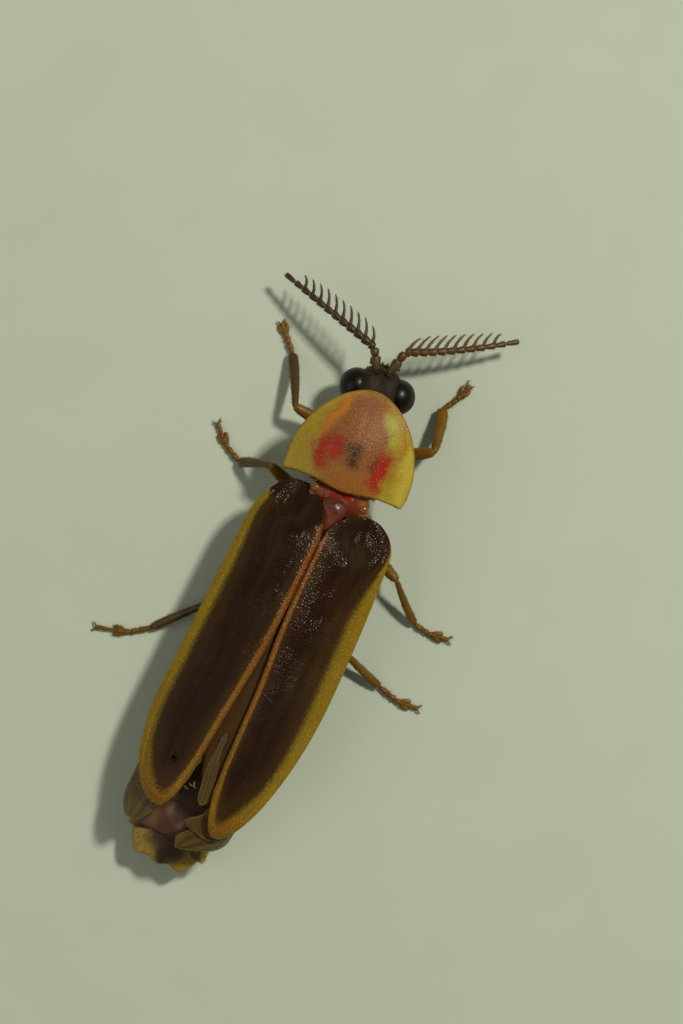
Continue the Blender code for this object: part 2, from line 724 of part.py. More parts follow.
def leg(name, hip, trochanter, knee, ankle, middle, toe):
    """One leg in four nodes, cut face to face at each joint."""
    hip = Vector((*hip, COXA_TOP))
    trochanter, knee = Vector(trochanter), Vector(knee)
    ankle = Vector((*ankle, FOOT_HEIGHT + 0.02))
    middle, toe = Vector((*middle, 0.0)), Vector((*toe, 0.0))
    coxa_end, femur_start = joint_cut(hip, trochanter, knee, SMALL_GAP)
    femur_end, tibia_start = joint_cut(trochanter, knee, ankle, SMALL_GAP)
    foot_start = Vector((middle.x, middle.y, ankle.z))
    tibia_end = joint_cut(knee, ankle, foot_start, SMALL_GAP)[0]
    hip_joint = coxa("coxa_" + name, hip, trochanter, coxa_end)
    femur = limb("femur_" + name, [trochanter, trochanter.lerp(knee, 0.4), knee], FEMUR_THICK,
                 start_cut=femur_start, end_cut=femur_end)
    tibia = limb("tibia_" + name, [knee, knee.lerp(ankle, 0.5), ankle], TIBIA_THICK, flat=0.9,
                 start_cut=tibia_start, end_cut=tibia_end)
    begin = ankle + (foot_start - ankle).normalized() * 0.24
    tarsus = foot("tarsus_" + name, (begin.x, begin.y, 0.0), middle, toe)
    for piece in (hip_joint, femur, tibia, tarsus):
        coat(piece, "leg")


def along_curve(points, share):
    """A point on the quadratic curve through three control points."""
    start, middle, end = (Vector(point) for point in points)
    return start.lerp(middle, share).lerp(middle.lerp(end, share), share)


def antenna(side):
    """The comb: a tapering stem with one forward branch on each of ten joints."""
    controls = ANTENNA_CURVE[side]
    steps = 12
    path = [along_curve(controls, step / steps) for step in range(steps + 1)]
    thick = [mix(ANTENNA_THICK, step / steps) for step in range(steps + 1)]
    thick[-1] *= ANTENNA_TIP
    pieces = [limb("antenna_" + side, path, thick, sides=8)]
    length = (path[-1] - path[0]).length
    branch_thick = [mix(COMB_THICK, share) for share in (0.0, 0.5, 1.0)]
    for branch in range(COMB_COUNT):
        share = (COMB_START + COMB_PITCH * branch) / length
        root = along_curve(controls, share)
        stem = (along_curve(controls, share + 0.02) - root).normalized()
        forward = Matrix.Rotation(ANTENNA_LEAN[side], 3, "Z") @ stem
        reach = COMB_LENGTH * (1.0 - COMB_SHORTER * (branch / (COMB_COUNT - 1)) ** 2)
        middle = root + forward * reach * 0.55
        tip = root + forward * reach + stem * 0.05
        pieces.append(limb("branch", [root, middle, tip], branch_thick, sides=5))
    return coat(fuse("antenna_" + side, pieces), "feeler")


def scape(side):
    """The two thick joints that carry the comb."""
    sign = 1.0 if side == "left" else -1.0
    root = head_place() @ Vector((sign * ANTENNA_SPREAD, -0.67 - SMALL_GAP, 0.26))
    end = Vector(ANTENNA_CURVE[side][0])
    last = end - (end - root).normalized() * SMALL_GAP
    path = [root.lerp(last, share) for share in SCAPE_SHARES]
    return coat(limb("scape_" + side, path, SCAPE_THICK, sides=10), "feeler")


def palp(side):
    """One jaw feeler under the head, ending in a broad joint."""
    sign = 1.0 if side == "left" else -1.0
    place = head_place()
    path = [place @ Vector(point) for point in (
        (sign * 0.20, -0.58, -0.50), (sign * 0.34, -0.74, -0.56), (sign * 0.44, -0.80, -0.44),
        (sign * 0.50, -0.72, -0.34))]
    return coat(limb("palp_" + side, path, PALP_THICK, sides=8), "feeler")


def abdomen_section(y):
    """Middle, half width and half height of the abdomen at a place along it."""
    share = (y - THORAX_BACK) / (ABDOMEN_END - THORAX_BACK)
    middle = ABDOMEN_BEND * share ** 2
    half_width = 1.42 + 0.26 * math.sin(math.pi * min(1.0, share * 1.15)) - 0.30 * share ** 4
    level = 1.34 - 0.12 * share - 0.30 * share ** 3
    half_height = 0.46 - 0.10 * share ** 3
    return middle, half_width, level, half_height


def abdomen_ring(number):
    """One ring of the abdomen, its plates flaring to their hind edge."""
    length = (ABDOMEN_END - THORAX_BACK) / ABDOMEN_RINGS
    start = THORAX_BACK + GAP + length * number
    end = THORAX_BACK + length * (number + 1)
    rings = []
    for share, flare in ABDOMEN_HOOPS:
        y = start + (end - start) * share
        middle, half_width, level, half_height = abdomen_section(y)
        ring = trunk_ring((middle, level), half_width * flare, half_height * flare, y, under_wings)
        if number == ABDOMEN_RINGS - 1 and share > 0.9:
            ring = [(x, y + ABDOMEN_HIND_ANGLE * abs((x - middle) / half_width) ** 6, z)
                    for x, _, z in ring]
        rings.append(ring)
    return coat(loft("abdomen_%d" % (number + 1), rings), "abdomen")


def pygidium():
    """The last plate: a drooping tail with a bowed, three-lobed end."""
    top, bottom = [], []
    columns, rows = 14, 8
    middle, _, level, _ = abdomen_section(ABDOMEN_END)
    for share in spread(rows):
        half_width = PYGIDIUM_HALF_WIDTH * (1.0 - PYGIDIUM_TAPER * share ** 2)
        top_row, bottom_row = [], []
        for column in range(columns + 1):
            across = -1.0 + 2.0 * column / columns
            lobe = PYGIDIUM_LOBE * math.cos(2.0 * math.pi * across / PYGIDIUM_LOBE_SPACING) * share ** 2
            along = share * PYGIDIUM_LENGTH * (1.0 - PYGIDIUM_BOW * across ** 6) + lobe
            crown = 1.0 - abs(across) ** 2.4
            half_height = PYGIDIUM_RIM + mix(PYGIDIUM_CROWN, share) * crown
            x = middle + across * half_width
            y = ABDOMEN_END + GAP + along
            top_row.append((x, y, level - PYGIDIUM_DROOP * share + half_height))
            bottom_row.append((x, y, level - PYGIDIUM_DROOP * share - half_height))
        top.append(top_row)
        bottom.append(bottom_row)
    return coat(sheet("pygidium", top, bottom), "tail")


def finish():
    """Set the origin under the middle of the insect, in metres, and smooth the round pieces."""
    pieces = [thing for thing in bpy.context.scene.objects if thing.type == "MESH"]
    corners = [point.co for thing in pieces for point in thing.data.vertices]
    low = [min(corner[axis] for corner in corners) for axis in range(3)]
    high = [max(corner[axis] for corner in corners) for axis in range(3)]
    shift = Vector((-(low[0] + high[0]) / 2.0, -(low[1] + high[1]) / 2.0, -low[2]))
    for thing in pieces:
        thing.data.transform(Matrix.Scale(MILLIMETRE, 4) @ Matrix.Translation(shift))
        thing.data.shade_smooth()
        thing.data.set_sharp_from_angle(angle=math.radians(40.0))


def main():
    """Build every node."""
    clear_scene()
    head()
    neck()
    pronotum()
    prothorax()
    mesonotum()
    scutellum()
    thorax()
    pygidium()
    for number in range(ABDOMEN_RINGS):
        abdomen_ring(number)
    for side in ("left", "right"):
        eye(side)
        palp(side)
        scape(side)
        antenna(side)
        elytron(side)
        hind_wing(side)
    for name, places in LEGS.items():
        leg(name, *places)
    finish()


main()
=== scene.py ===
"""The looks of a life-size firefly: cuticle, wings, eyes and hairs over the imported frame.

Pieces are modelled in millimetres, head towards -Y and the insect's left at +X, and settle()
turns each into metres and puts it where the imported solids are.
"""

import math

import bmesh
import bpy
import numpy
from mathutils import Matrix, Vector


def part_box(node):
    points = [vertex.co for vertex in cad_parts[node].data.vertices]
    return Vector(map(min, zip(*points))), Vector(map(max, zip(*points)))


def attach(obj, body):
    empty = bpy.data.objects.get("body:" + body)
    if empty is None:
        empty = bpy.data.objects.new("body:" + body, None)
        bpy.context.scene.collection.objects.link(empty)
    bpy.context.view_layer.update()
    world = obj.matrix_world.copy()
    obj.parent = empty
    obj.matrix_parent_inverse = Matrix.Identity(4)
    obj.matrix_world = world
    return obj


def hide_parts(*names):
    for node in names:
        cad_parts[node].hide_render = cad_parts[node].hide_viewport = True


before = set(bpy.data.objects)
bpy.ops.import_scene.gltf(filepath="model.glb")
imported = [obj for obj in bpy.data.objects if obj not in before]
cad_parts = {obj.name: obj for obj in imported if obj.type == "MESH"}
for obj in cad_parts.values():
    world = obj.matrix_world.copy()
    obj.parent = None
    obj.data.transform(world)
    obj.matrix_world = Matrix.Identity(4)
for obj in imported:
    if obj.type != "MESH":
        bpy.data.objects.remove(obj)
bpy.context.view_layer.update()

METRE_PER_MM = 0.001
UP = Vector((0.0, 0.0, 1.0))
SIDES = {"left": 1.0, "right": -1.0}

# The thorax runs from y = -1.22 to 2.15 mm and is centred on x = 0: it tells the origin's place
THORAX_ENDS = (-1.22, 2.15)
THORAX_LOW, THORAX_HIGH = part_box("thorax")
ORIGIN = Vector(((THORAX_LOW.x + THORAX_HIGH.x) / 2.0,
                 (THORAX_LOW.y + THORAX_HIGH.y) / 2.0 - sum(THORAX_ENDS) / 2.0 * METRE_PER_MM, 0.0))

# Wing cases
ELYTRON_LENGTH = 9.78
ELYTRON_FRONT = {"left": (1.16, -1.21), "right": (-1.04, -1.06)}
ELYTRON_TURN = {"left": math.radians(1.45), "right": math.radians(1.05)}
ELYTRON_OUTER_WIDTH = {"left": (0.99, 1.42), "right": (0.86, 1.22)}
ELYTRON_OUTER_BOW = {"left": 0.0, "right": 0.20}
ELYTRON_INNER_WIDTH = {"left": (1.15, 0.50), "right": (1.07, 0.58)}
ELYTRON_INNER_BOW = {"left": 0.11, "right": 0.05}
ELYTRON_OUTER_ROUND = {"left": (1.6, 3.1), "right": (0.80, 5.0)}
ELYTRON_INNER_ROUND = {"left": (1.6, 2.0), "right": (1.3, 2.2)}
# Hollow of the inner edge: its depth, where along the case it begins and over what share it grows
ELYTRON_HOLLOW = {"left": (0.13, 0.42, 0.38), "right": (0.12, 0.32, 0.28)}
ELYTRON_SHELL = 0.11
# How far each end of a wing case curls down, and over what length: front, then tip
ELYTRON_CURL = ((0.30, 0.85), (0.14, 0.60))
ROOF_TOP = 3.02
ROOF_FRONT_DROP = 0.42
ROOF_FRONT_END = -1.25
ROOF_FRONT_REACH = 2.6
ROOF_BACK_DROP = 0.50
ROOF_BACK_START = 4.6
ROOF_BACK_END = 8.7
ROOF_HALF_WIDTH = 2.25
ROOF_FALL = 1.18
ROOF_FALL_POWER = 2.3
WING_DEPTH = 0.30
WING_SINK = {"left": WING_DEPTH, "right": WING_DEPTH + 0.09}
WING_PLEAT = {"left": 0.014, "right": 0.03}
WING_END = {"left": 9.25, "right": 9.42}
VEINS_ACROSS = (0.12, 0.30, 0.52, 0.74, 0.92)
BLADE_DEPTH = 0.16
BLADE_ENDS = (5.9, 8.02)
PAD_DEPTH = 0.20

# Small round scar on the left wing case: place and radius of its rim and of its floor
PIT_AT = (1.03, 7.19)
PIT_RIM = (0.130, 0.025)
PIT_FLOOR = (0.085, -0.120)
ELYTRON_SEED = {"left": 11, "right": 12}
# Grid column and rise in mm: beaded seam, three ribs, gutter and turned-up margin
ELYTRON_RIBS = ((0, 0.030), (1, -0.025), (6, 0.024), (11, 0.030), (16, 0.024), (21, -0.055), (24, 0.030))
# Broad hollows and swellings: share across from the seam, mm along, rise and reach in mm
ELYTRON_RELIEF = ((0.50, 0.66, -0.36, 0.80), (0.46, 1.40, 0.16, 0.70), (0.82, 1.15, 0.08, 0.55),
                  (0.70, 2.7, -0.08, 0.75), (0.74, 4.0, -0.07, 0.80), (0.40, 3.4, 0.05, 1.0),
                  (0.76, 5.4, -0.05, 0.80), (0.45, 5.6, 0.04, 1.1))
# Yellow bands in mm at the front, the middle and the back, and where along the case each begins
LATERAL_BAND = {"left": (0.16, 0.31, 0.30), "right": (0.03, 0.44, 0.31)}
LATERAL_START = {"left": 0.45, "right": 0.05}
SEAM_BAND = {"left": (0.14, 0.13), "right": (0.13, 0.09)}
SEAM_START = 0.75
# The wider band of the tip: where it begins, over what length it grows and by how much, in mm
TIP_BAND = (7.9, 1.3, 0.08)

# Shield over the fore body
PRONOTUM_HIND = (0.08, -1.34)
PRONOTUM_TURN = math.radians(5.4)
PRONOTUM_LENGTH = 2.95
PRONOTUM_HALF_WIDTH = 1.80
PRONOTUM_WIDEST = 0.70
PRONOTUM_RIM = 1.98
PRONOTUM_FRONT_LIFT = 0.30
PRONOTUM_DOME = 0.92
PRONOTUM_NOTCH = 0.14
PRONOTUM_NOTCH_AT = 1.1
PRONOTUM_SHELL = 0.16

# Strokes of colour: start and end in mm aside and ahead, reach, blur, strength and colour
SHIELD_MARKS = (
    ((0.05, 0.95), (0.05, 1.85), 0.98, 0.30, 0.95, None),
    ((-0.30, 0.30), (0.40, 0.30), 0.42, 0.28, 0.75, "#a06424"),
    ((-1.62, 0.20), (-1.52, 1.60), 0.20, 0.20, 0.75, "#cabb44"),
    ((-1.15, 0.10), (-1.50, 0.12), 0.14, 0.14, 0.60, "#c8b840"),
    ((0.62, 2.46), (1.06, 1.45), 0.13, 0.12, 0.85, "#b9761c"),
    ((1.22, 1.15), (1.15, 0.55), 0.16, 0.16, 0.45, "#a87a3a"),
    ((-0.25, 2.62), (0.45, 2.52), 0.16, 0.22, 0.70, "#86503c"),
    ((-0.62, 2.36), (-0.92, 1.78), 0.13, 0.14, 0.85, "#a9a83c"),
    ((-1.02, 2.30), (-1.22, 1.60), 0.05, 0.09, 0.80, "#b46a1c"),
    ((-1.16, 1.50), (-1.12, 0.80), 0.08, 0.12, 0.60, "#a8702a"),
    ((0.92, 1.24), (0.46, 1.26), 0.15, 0.14, 0.92, "#8e2a20"),
    ((0.50, 1.24), (0.56, 0.96), 0.15, 0.13, 0.92, "#a01c0c"),
    ((0.94, 1.10), (0.84, 0.62), 0.17, 0.14, 0.95, "#a01d0c"),
    ((-0.82, 1.20), (-0.80, 0.48), 0.20, 0.16, 0.97, "#a41d0c"),
    ((-0.58, 1.14), (-0.62, 0.86), 0.09, 0.11, 0.75, "#5e2a18"),
    ((0.26, 1.28), (-0.16, 1.30), 0.12, 0.16, 0.62, "#5a341e"),
    ((0.05, 1.22), (-0.02, 0.86), 0.15, 0.15, 0.88, "#3c2214"),
)

# Folds of the middle plate: from and up to how far aside, from how far front, and rise in mm
MESONOTUM_RELIEF = ((0.0, 0.09, -2.0, -0.07), (0.20, 0.36, -1.4, 0.06), (0.48, 0.60, -2.0, -0.05))

# Head
HEAD_CENTRE = (0.38, -4.28, 1.38)
HEAD_TURN = math.radians(9.6)
EYE_RADIUS = 0.50
EYE_ASIDE = 0.60
EYE_LEVEL = -0.10
ANTENNA_SPREAD = 0.17

# Feelers: stem curve and lean of the comb's branches
ANTENNA_CURVE = {
    "left": ((0.98, -5.36, 1.62), (2.50, -5.72, 1.45), (4.08, -6.14, 0.95)),
    "right": ((0.15, -5.60, 1.60), (-1.10, -6.16, 1.45), (-2.56, -7.26, 0.92)),
}
ANTENNA_LEAN = {"left": math.radians(-54.0), "right": math.radians(49.0)}
COMB_COUNT = 10
COMB_PITCH = 0.275
COMB_START = 0.16
COMB_LENGTH = 0.60
COMB_LENGTHS = (0.90, 1.0, 1.0, 1.0, 0.98, 0.96, 0.94, 0.88, 0.80, 0.70)

# Trunk
THORAX_LEVEL = 1.47
ABDOMEN_RINGS = 7
ABDOMEN_START = 2.15
ABDOMEN_END = 9.16
ABDOMEN_BEND = 0.24

# Strokes of colour on the last plate and the last ring, in body mm aside and back
TAIL_MARKS = (
    ((0.40, 9.34), (0.06, 9.52), 0.40, 0.22, 0.97, "#20140a"),
    ((0.20, 9.60), (0.15, 9.98), 0.14, 0.14, 0.90, "#3a2310"),
    ((-0.12, 9.44), (-0.16, 9.62), 0.14, 0.14, 0.70, "#3a2310"),
)
RING_MARKS = (
    ((1.42, 8.95), (1.42, 9.35), 0.13, 0.09, 0.95, "#8a6414"),
    ((-0.97, 9.10), (-1.02, 9.60), 0.22, 0.09, 0.95, "#c4a63c"),
    ((0.92, 8.75), (0.86, 8.98), 0.14, 0.14, 0.85, "#70501e"),
    ((0.45, 8.55), (0.10, 8.70), 0.16, 0.16, 0.80, "#7a6452"),
)
# Strokes on the tongue plate: a rose-brown tip, and a painted shadow line down its middle
TONGUE_MARKS_AND_SHADOW = (
    ((-0.02, -0.32), (0.04, -0.48), 0.14, 0.16, 0.80, "#7c4c30"),
    ((0.02, -0.78), (0.04, -1.02), 0.05, 0.06, 0.80, "#38140c"),
)
PLATE_MARKS = (
    ((0.50, -1.14), (0.46, -1.04), 0.10, 0.12, 0.75, "#8a2614"),
    ((0.20, -1.32), (0.16, -1.20), 0.07, 0.08, 0.95, "#8e1408"),
    ((-0.13, -1.34), (-0.15, -1.26), 0.08, 0.08, 0.95, "#8e1408"),
    ((0.02, -1.06), (-0.10, -0.92), 0.07, 0.08, 0.80, "#4a1c12"),
    ((-0.62, -1.36), (-0.74, -1.14), 0.10, 0.12, 0.80, "#8e5c26"),
    ((0.34, -1.26), (0.34, -1.06), 0.03, 0.05, 0.80, "#5a2014"),
)

# Legs: hip, trochanter and knee, then ankle, middle of the foot and toe on the floor
COXA_TOP = 0.81
HIP_PLATE_LEVEL = 0.98
SHIN_BULK = {"fore_right": 1.18, "middle_right": 0.80, "hind_right": 0.82, "hind_left": 0.85}
# Shins with the darker cuticle: dark on the fore and middle left legs; on the hind left leg it is painted
# shade from the body's shadow
DARK_AND_SHADED_SHINS = ("fore_left", "middle_left", "hind_left")
LEGS = {
    "fore_left": ((0.47, -2.62), (0.92, -2.84, 0.56), (2.25, -2.95, 1.00),
                  (2.96, -4.26), (3.34, -4.64), (3.60, -4.90)),
    "fore_right": ((-0.32, -2.68), (-0.78, -2.86, 0.56), (-1.76, -3.47, 1.00),
                   (-1.47, -4.66), (-1.74, -5.15), (-1.86, -5.58)),
    "middle_left": ((0.48, -0.55), (0.95, -0.78, 0.56), (2.16, -1.20, 1.28),
                    (2.97, -0.90), (3.50, -1.14), (4.00, -1.62)),
    "middle_right": ((-0.48, -0.55), (-0.95, -0.42, 0.56), (-2.36, 0.16, 0.98),
                     (-3.34, 1.04), (-3.85, 1.13), (-4.40, 1.03)),
    "hind_left": ((0.48, 1.35), (0.92, 1.62, 0.56), (1.78, 2.72, 0.80),
                  (3.20, 4.30), (3.72, 4.70), (4.62, 4.96)),
    "hind_right": ((-0.48, 1.35), (-0.92, 1.60, 0.56), (-1.62, 2.46, 0.80),
                   (-3.22, 3.03), (-3.85, 3.20), (-4.46, 3.12)),
}

# Joints' profiles: share of the length, half width and height and, if not 0, shifts aside and up
HIP = ((0.0, 0.16, 0.16), (0.2, 0.23, 0.21), (0.6, 0.21, 0.18), (0.92, 0.14, 0.13), (1.0, 0.08, 0.08))
HIP_PLATE = ((0.0, 0.06, 0.04), (0.12, 0.17, 0.10), (0.5, 0.24, 0.13), (0.85, 0.19, 0.10),
             (1.0, 0.07, 0.04))
THIGH = ((0.0, 0.07, 0.07), (0.06, 0.13, 0.12), (0.30, 0.185, 0.155, 0.0, 0.01),
         (0.62, 0.190, 0.160, 0.0, 0.02), (0.90, 0.145, 0.125, 0.0, 0.01), (0.98, 0.120, 0.11),
         (1.02, 0.06, 0.06))
SHIN = ((-0.02, 0.06, 0.06), (0.03, 0.090, 0.08), (0.18, 0.105, 0.092, 0.02), (0.50, 0.138, 0.112, 0.03),
        (0.82, 0.150, 0.120, 0.02), (0.96, 0.145, 0.118), (1.0, 0.095, 0.080))
FOOT_JOINT = ((0.0, 0.045, 0.045), (0.12, 0.062, 0.056), (0.6, 0.080, 0.064), (0.94, 0.098, 0.068),
              (1.0, 0.055, 0.04))
CLAW_JOINT = ((0.0, 0.035, 0.035), (0.3, 0.040, 0.040), (0.8, 0.062, 0.056), (0.97, 0.066, 0.058),
              (1.0, 0.04, 0.04))
LOBE = ((0.0, 0.045, 0.035), (0.25, 0.070, 0.042), (0.65, 0.075, 0.038, 0.0, -0.01),
        (0.92, 0.050, 0.025, 0.0, -0.02), (1.0, 0.02, 0.012, 0.0, -0.02))
CLAW = ((0.0, 0.028, 0.030, 0.0, 0.0), (0.35, 0.026, 0.028, 0.010, 0.010), (0.7, 0.018, 0.018, 0.006, 0.0),
        (1.0, 0.005, 0.005, -0.03, -0.03))
SCAPE = ((0.0, 0.06, 0.06), (0.08, 0.085, 0.08), (0.45, 0.135, 0.115), (0.85, 0.155, 0.130),
         (0.96, 0.145, 0.12), (1.0, 0.09, 0.08))
PEDICEL = ((0.0, 0.06, 0.06), (0.15, 0.12, 0.10), (0.75, 0.14, 0.115), (1.0, 0.07, 0.06))
COMB_JOINT = ((0.0, 0.074, 0.060), (0.10, 0.106, 0.088), (0.55, 0.126, 0.100), (0.90, 0.146, 0.110),
              (1.0, 0.094, 0.076))
COMB_BRANCH = ((0.0, 0.090, 0.060), (0.10, 0.064, 0.052, -0.024), (0.30, 0.046, 0.042, -0.056),
               (0.60, 0.037, 0.034, -0.064), (0.90, 0.028, 0.026, -0.026), (1.0, 0.010, 0.010))
COMB_SKIN = ((0.0, 0.060, 0.055), (0.5, 0.072, 0.064), (1.0, 0.060, 0.055))
PALP_JOINT = ((0.0, 0.03, 0.03), (0.08, 0.055, 0.05), (0.6, 0.07, 0.06), (0.94, 0.075, 0.06),
              (1.0, 0.04, 0.03))
PALP_END = ((0.0, 0.04, 0.03), (0.2, 0.09, 0.05), (0.6, 0.13, 0.06), (0.85, 0.11, 0.05, 0.02),
            (1.0, 0.03, 0.02, 0.05))
RAG_SHAPE = ((0.0, 0.016, 0.006), (0.4, 0.020, 0.006, 0.03, 0.01), (0.75, 0.012, 0.005, 0.01, 0.02),
             (1.0, 0.004, 0.003, -0.02, 0.03))
RAG_ENDS = (((0.38, 7.60, 2.36), (0.20, 7.66, 2.44)), ((0.26, 7.50, 2.36), (0.15, 7.70, 2.44)),
            ((0.46, 7.72, 2.32), (0.30, 7.80, 2.38)))

# Hairs: how many a square millimetre, length and thickness in mm, and lift from the skin
HAIRS = {
    "wing_case": (130.0, 0.050, 0.0032, 0.30),
    "shield": (150.0, 0.05, 0.0026, 0.25),
    "head": (150.0, 0.06, 0.0042, 0.5),
    "scape": (130.0, 0.09, 0.006, 0.7),
    "comb": (330.0, 0.065, 0.0045, 0.75),
    "fore_body": (60.0, 0.12, 0.006, 0.5),
    "thorax": (70.0, 0.14, 0.006, 0.45),
    "abdomen": (90.0, 0.10, 0.0045, 0.4),
    "tail": (150.0, 0.10, 0.0045, 0.4),
    "leg": (110.0, 0.10, 0.006, 0.45),
    "shin": (150.0, 0.10, 0.006, 0.45),
    "foot": (260.0, 0.085, 0.0055, 0.7),
}

# Camera: straight down, the body's line 25.7 degrees from the picture's upright
PHOTO_CENTRE = (-0.17, -0.88)
PHOTO_HEIGHT = 28.2
BODY_SLANT = math.radians(25.7)
CAMERA_HEIGHT = 150.0
SENSOR = 36.0
# Lights: place to the picture's right, up and above in m, width in m and power in W
LIGHTS = {"key": (0.08, 0.06, 0.14, 0.018, 0.20), "fill": (-0.12, -0.02, 0.12, 0.14, 0.05)}


# Shared sums

def mix(pair, share):
    """The value between two ends."""
    return pair[0] + (pair[1] - pair[0]) * share


def smooth(value):
    """Ease from 0 to 1."""
    value = max(0.0, min(1.0, value))
    return value * value * (3.0 - 2.0 * value)


def crowded(share):
    """A share of a length, its steps closer together at both ends."""
    return max(0.003, min(0.997, (1.0 - math.cos(math.pi * share)) / 2.0))


def round_end(distance, reach):
    """Quarter-ellipse growth of a width over a reach from an end."""
    if distance >= reach:
        return 1.0
    return math.sqrt(max(0.0, 1.0 - ((reach - distance) / reach) ** 2))


def roof(x, y):
    """Height of the wing cases' outer surface."""
    top = ROOF_TOP
    front = 1.0 - (y - ROOF_FRONT_END) / ROOF_FRONT_REACH
    if front > 0.0:
        top -= ROOF_FRONT_DROP * front ** 2
    back = (y - ROOF_BACK_START) / (ROOF_BACK_END - ROOF_BACK_START)
    if back > 0.0:
        top -= ROOF_BACK_DROP * back ** 2
    return top - ROOF_FALL * (abs(x) / ROOF_HALF_WIDTH) ** ROOF_FALL_POWER


def along_curve(points, share):
    """A point on the quadratic curve through three control points."""
    start, middle, end = (Vector(point) for point in points)
    return start.lerp(middle, share).lerp(middle.lerp(end, share), share)


# Modelling by hand, in millimetres

def take(*pieces):
    """Select only these pieces, the first of them active."""
    bpy.ops.object.select_all(action="DESELECT")
    for piece in pieces:
        piece.select_set(True)
    bpy.context.view_layer.objects.active = pieces[0]


def pick(piece, test):
    """In edit mode, select the points whose place passes a test."""
    shape = bmesh.from_edit_mesh(piece.data)
    for point in shape.verts:
        point.select = bool(test(point.co))
    shape.select_flush_mode()
    bmesh.update_edit_mesh(piece.data)


def push(piece, *steps):
    """Move the points that pass each step's test by its shift, and others within its reach along."""
    take(piece)
    bpy.ops.object.mode_set(mode="EDIT")
    for test, shift, *reach in steps:
        pick(piece, test)
        soft = {"use_proportional_edit": True, "proportional_edit_falloff": "SMOOTH",
                "proportional_size": reach[0]} if reach else {}
        bpy.ops.transform.translate(value=shift, **soft)
    bpy.ops.object.mode_set(mode="OBJECT")


def primitive(name, make, **settings):
    """A ready-made body whose place is in its mesh."""
    bpy.ops.object.select_all(action="DESELECT")
    make(**settings)
    bpy.ops.object.transform_apply(location=True, rotation=True, scale=True)
    bpy.context.object.name = name
    return bpy.context.object


def bake_modifiers(piece):
    """Apply a piece's modifiers in order."""
    take(piece)
    for modifier in list(piece.modifiers):
        bpy.ops.object.modifier_apply(modifier=modifier.name)


def soften(piece, levels=1):
    """Round a piece with a subdivision surface and shade it smooth."""
    if levels:
        surface = piece.modifiers.new("surface", "SUBSURF")
        surface.levels = levels
        surface.render_levels = levels
    bake_modifiers(piece)
    bpy.ops.object.shade_smooth()
    return piece


def tidy_normals(piece):
    """Merge doubled points and turn all faces outwards."""
    take(piece)
    bpy.ops.object.mode_set(mode="EDIT")
    bpy.ops.mesh.select_all(action="SELECT")
    bpy.ops.mesh.remove_doubles(threshold=0.0002)
    bpy.ops.mesh.normals_make_consistent(inside=False)
    bpy.ops.object.mode_set(mode="OBJECT")
    return piece


def apply_place(piece, matrix):
    """Place a piece and put the place into its mesh."""
    piece.matrix_world = matrix
    take(piece)
    bpy.ops.object.transform_apply(location=True, rotation=True, scale=True)
    return piece


def set_lie(piece, direction=(0.0, 1.0, 0.0)):
    """Note on the mesh which way its hairs lie."""
    lie = piece.data.attributes.get("lie") or piece.data.attributes.new("lie", "FLOAT_VECTOR", "POINT")
    lie.data.foreach_set("vector", list(direction) * len(piece.data.vertices))


def draw_out(name, stations, sides=16, power=2.0):
    """A ring drawn out along +Y: each station is y, half width, half height and, if not 0, x and z."""
    stations = [(*station, 0.0, 0.0)[:5] for station in stations]
    y, wide, high, x, z = stations[0]
    piece = primitive(name, bpy.ops.mesh.primitive_circle_add, vertices=sides, radius=1.0,
                      fill_type="NGON", location=(x, y, z), rotation=(math.pi / 2.0, 0.0, 0.0))
    bpy.ops.object.mode_set(mode="EDIT")
    shape = bmesh.from_edit_mesh(piece.data)
    for point in shape.verts:
        aside, upward = point.co.x - x, point.co.z - z
        point.co.x = x + math.copysign(abs(aside) ** (2.0 / power), aside)
        point.co.z = z + math.copysign(abs(upward) ** (2.0 / power), upward)
    bmesh.update_edit_mesh(piece.data)
    bpy.ops.mesh.select_all(action="SELECT")
    bpy.ops.transform.resize(value=(wide, 1.0, high), center_override=(x, y, z))
    for next_y, next_wide, next_high, next_x, next_z in stations[1:]:
        step = (next_x - x, next_y - y, next_z - z)
        bpy.ops.mesh.extrude_region_move(TRANSFORM_OT_translate={"value": step})
        bpy.ops.transform.resize(value=(next_wide / wide, 1.0, next_high / high),
                                 center_override=(next_x, next_y, next_z))
        x, y, z, wide, high = next_x, next_y, next_z, next_wide, next_high
    bpy.ops.mesh.select_all(action="SELECT")
    bpy.ops.mesh.normals_make_consistent(inside=False)
    bpy.ops.object.mode_set(mode="OBJECT")
    return piece


def facing(ahead):
    """The turn that points +Y ahead and keeps +X level."""
    aside = ahead.cross(UP).normalized()
    return Matrix((aside, ahead, aside.cross(ahead))).transposed().to_4x4()


def article(name, profile, start, end, sides=12):
    """A limb's joint from start to end: its rows are stations with a share of the length for y."""
    start, end = Vector(start), Vector(end)
    length = (end - start).length
    piece = soften(draw_out(name, [(row[0] * length, *row[1:]) for row in profile], sides))
    ahead = (end - start).normalized()
    apply_place(piece, Matrix.Translation(start) @ facing(ahead))
    set_lie(piece, ahead)
    return piece


def copy_of(piece, name, matrix):
    """A copy with its own mesh, placed."""
    twin = bpy.data.objects.new(name, piece.data.copy())
    bpy.context.scene.collection.objects.link(twin)
    ahead = matrix.to_3x3() @ Vector((0.0, 1.0, 0.0))
    apply_place(twin, matrix)
    set_lie(twin, ahead.normalized())
    return twin


def join(name, pieces):
    """Join pieces into one."""
    take(*pieces)
    bpy.ops.object.join()
    pieces[0].name = name
    return pieces[0]


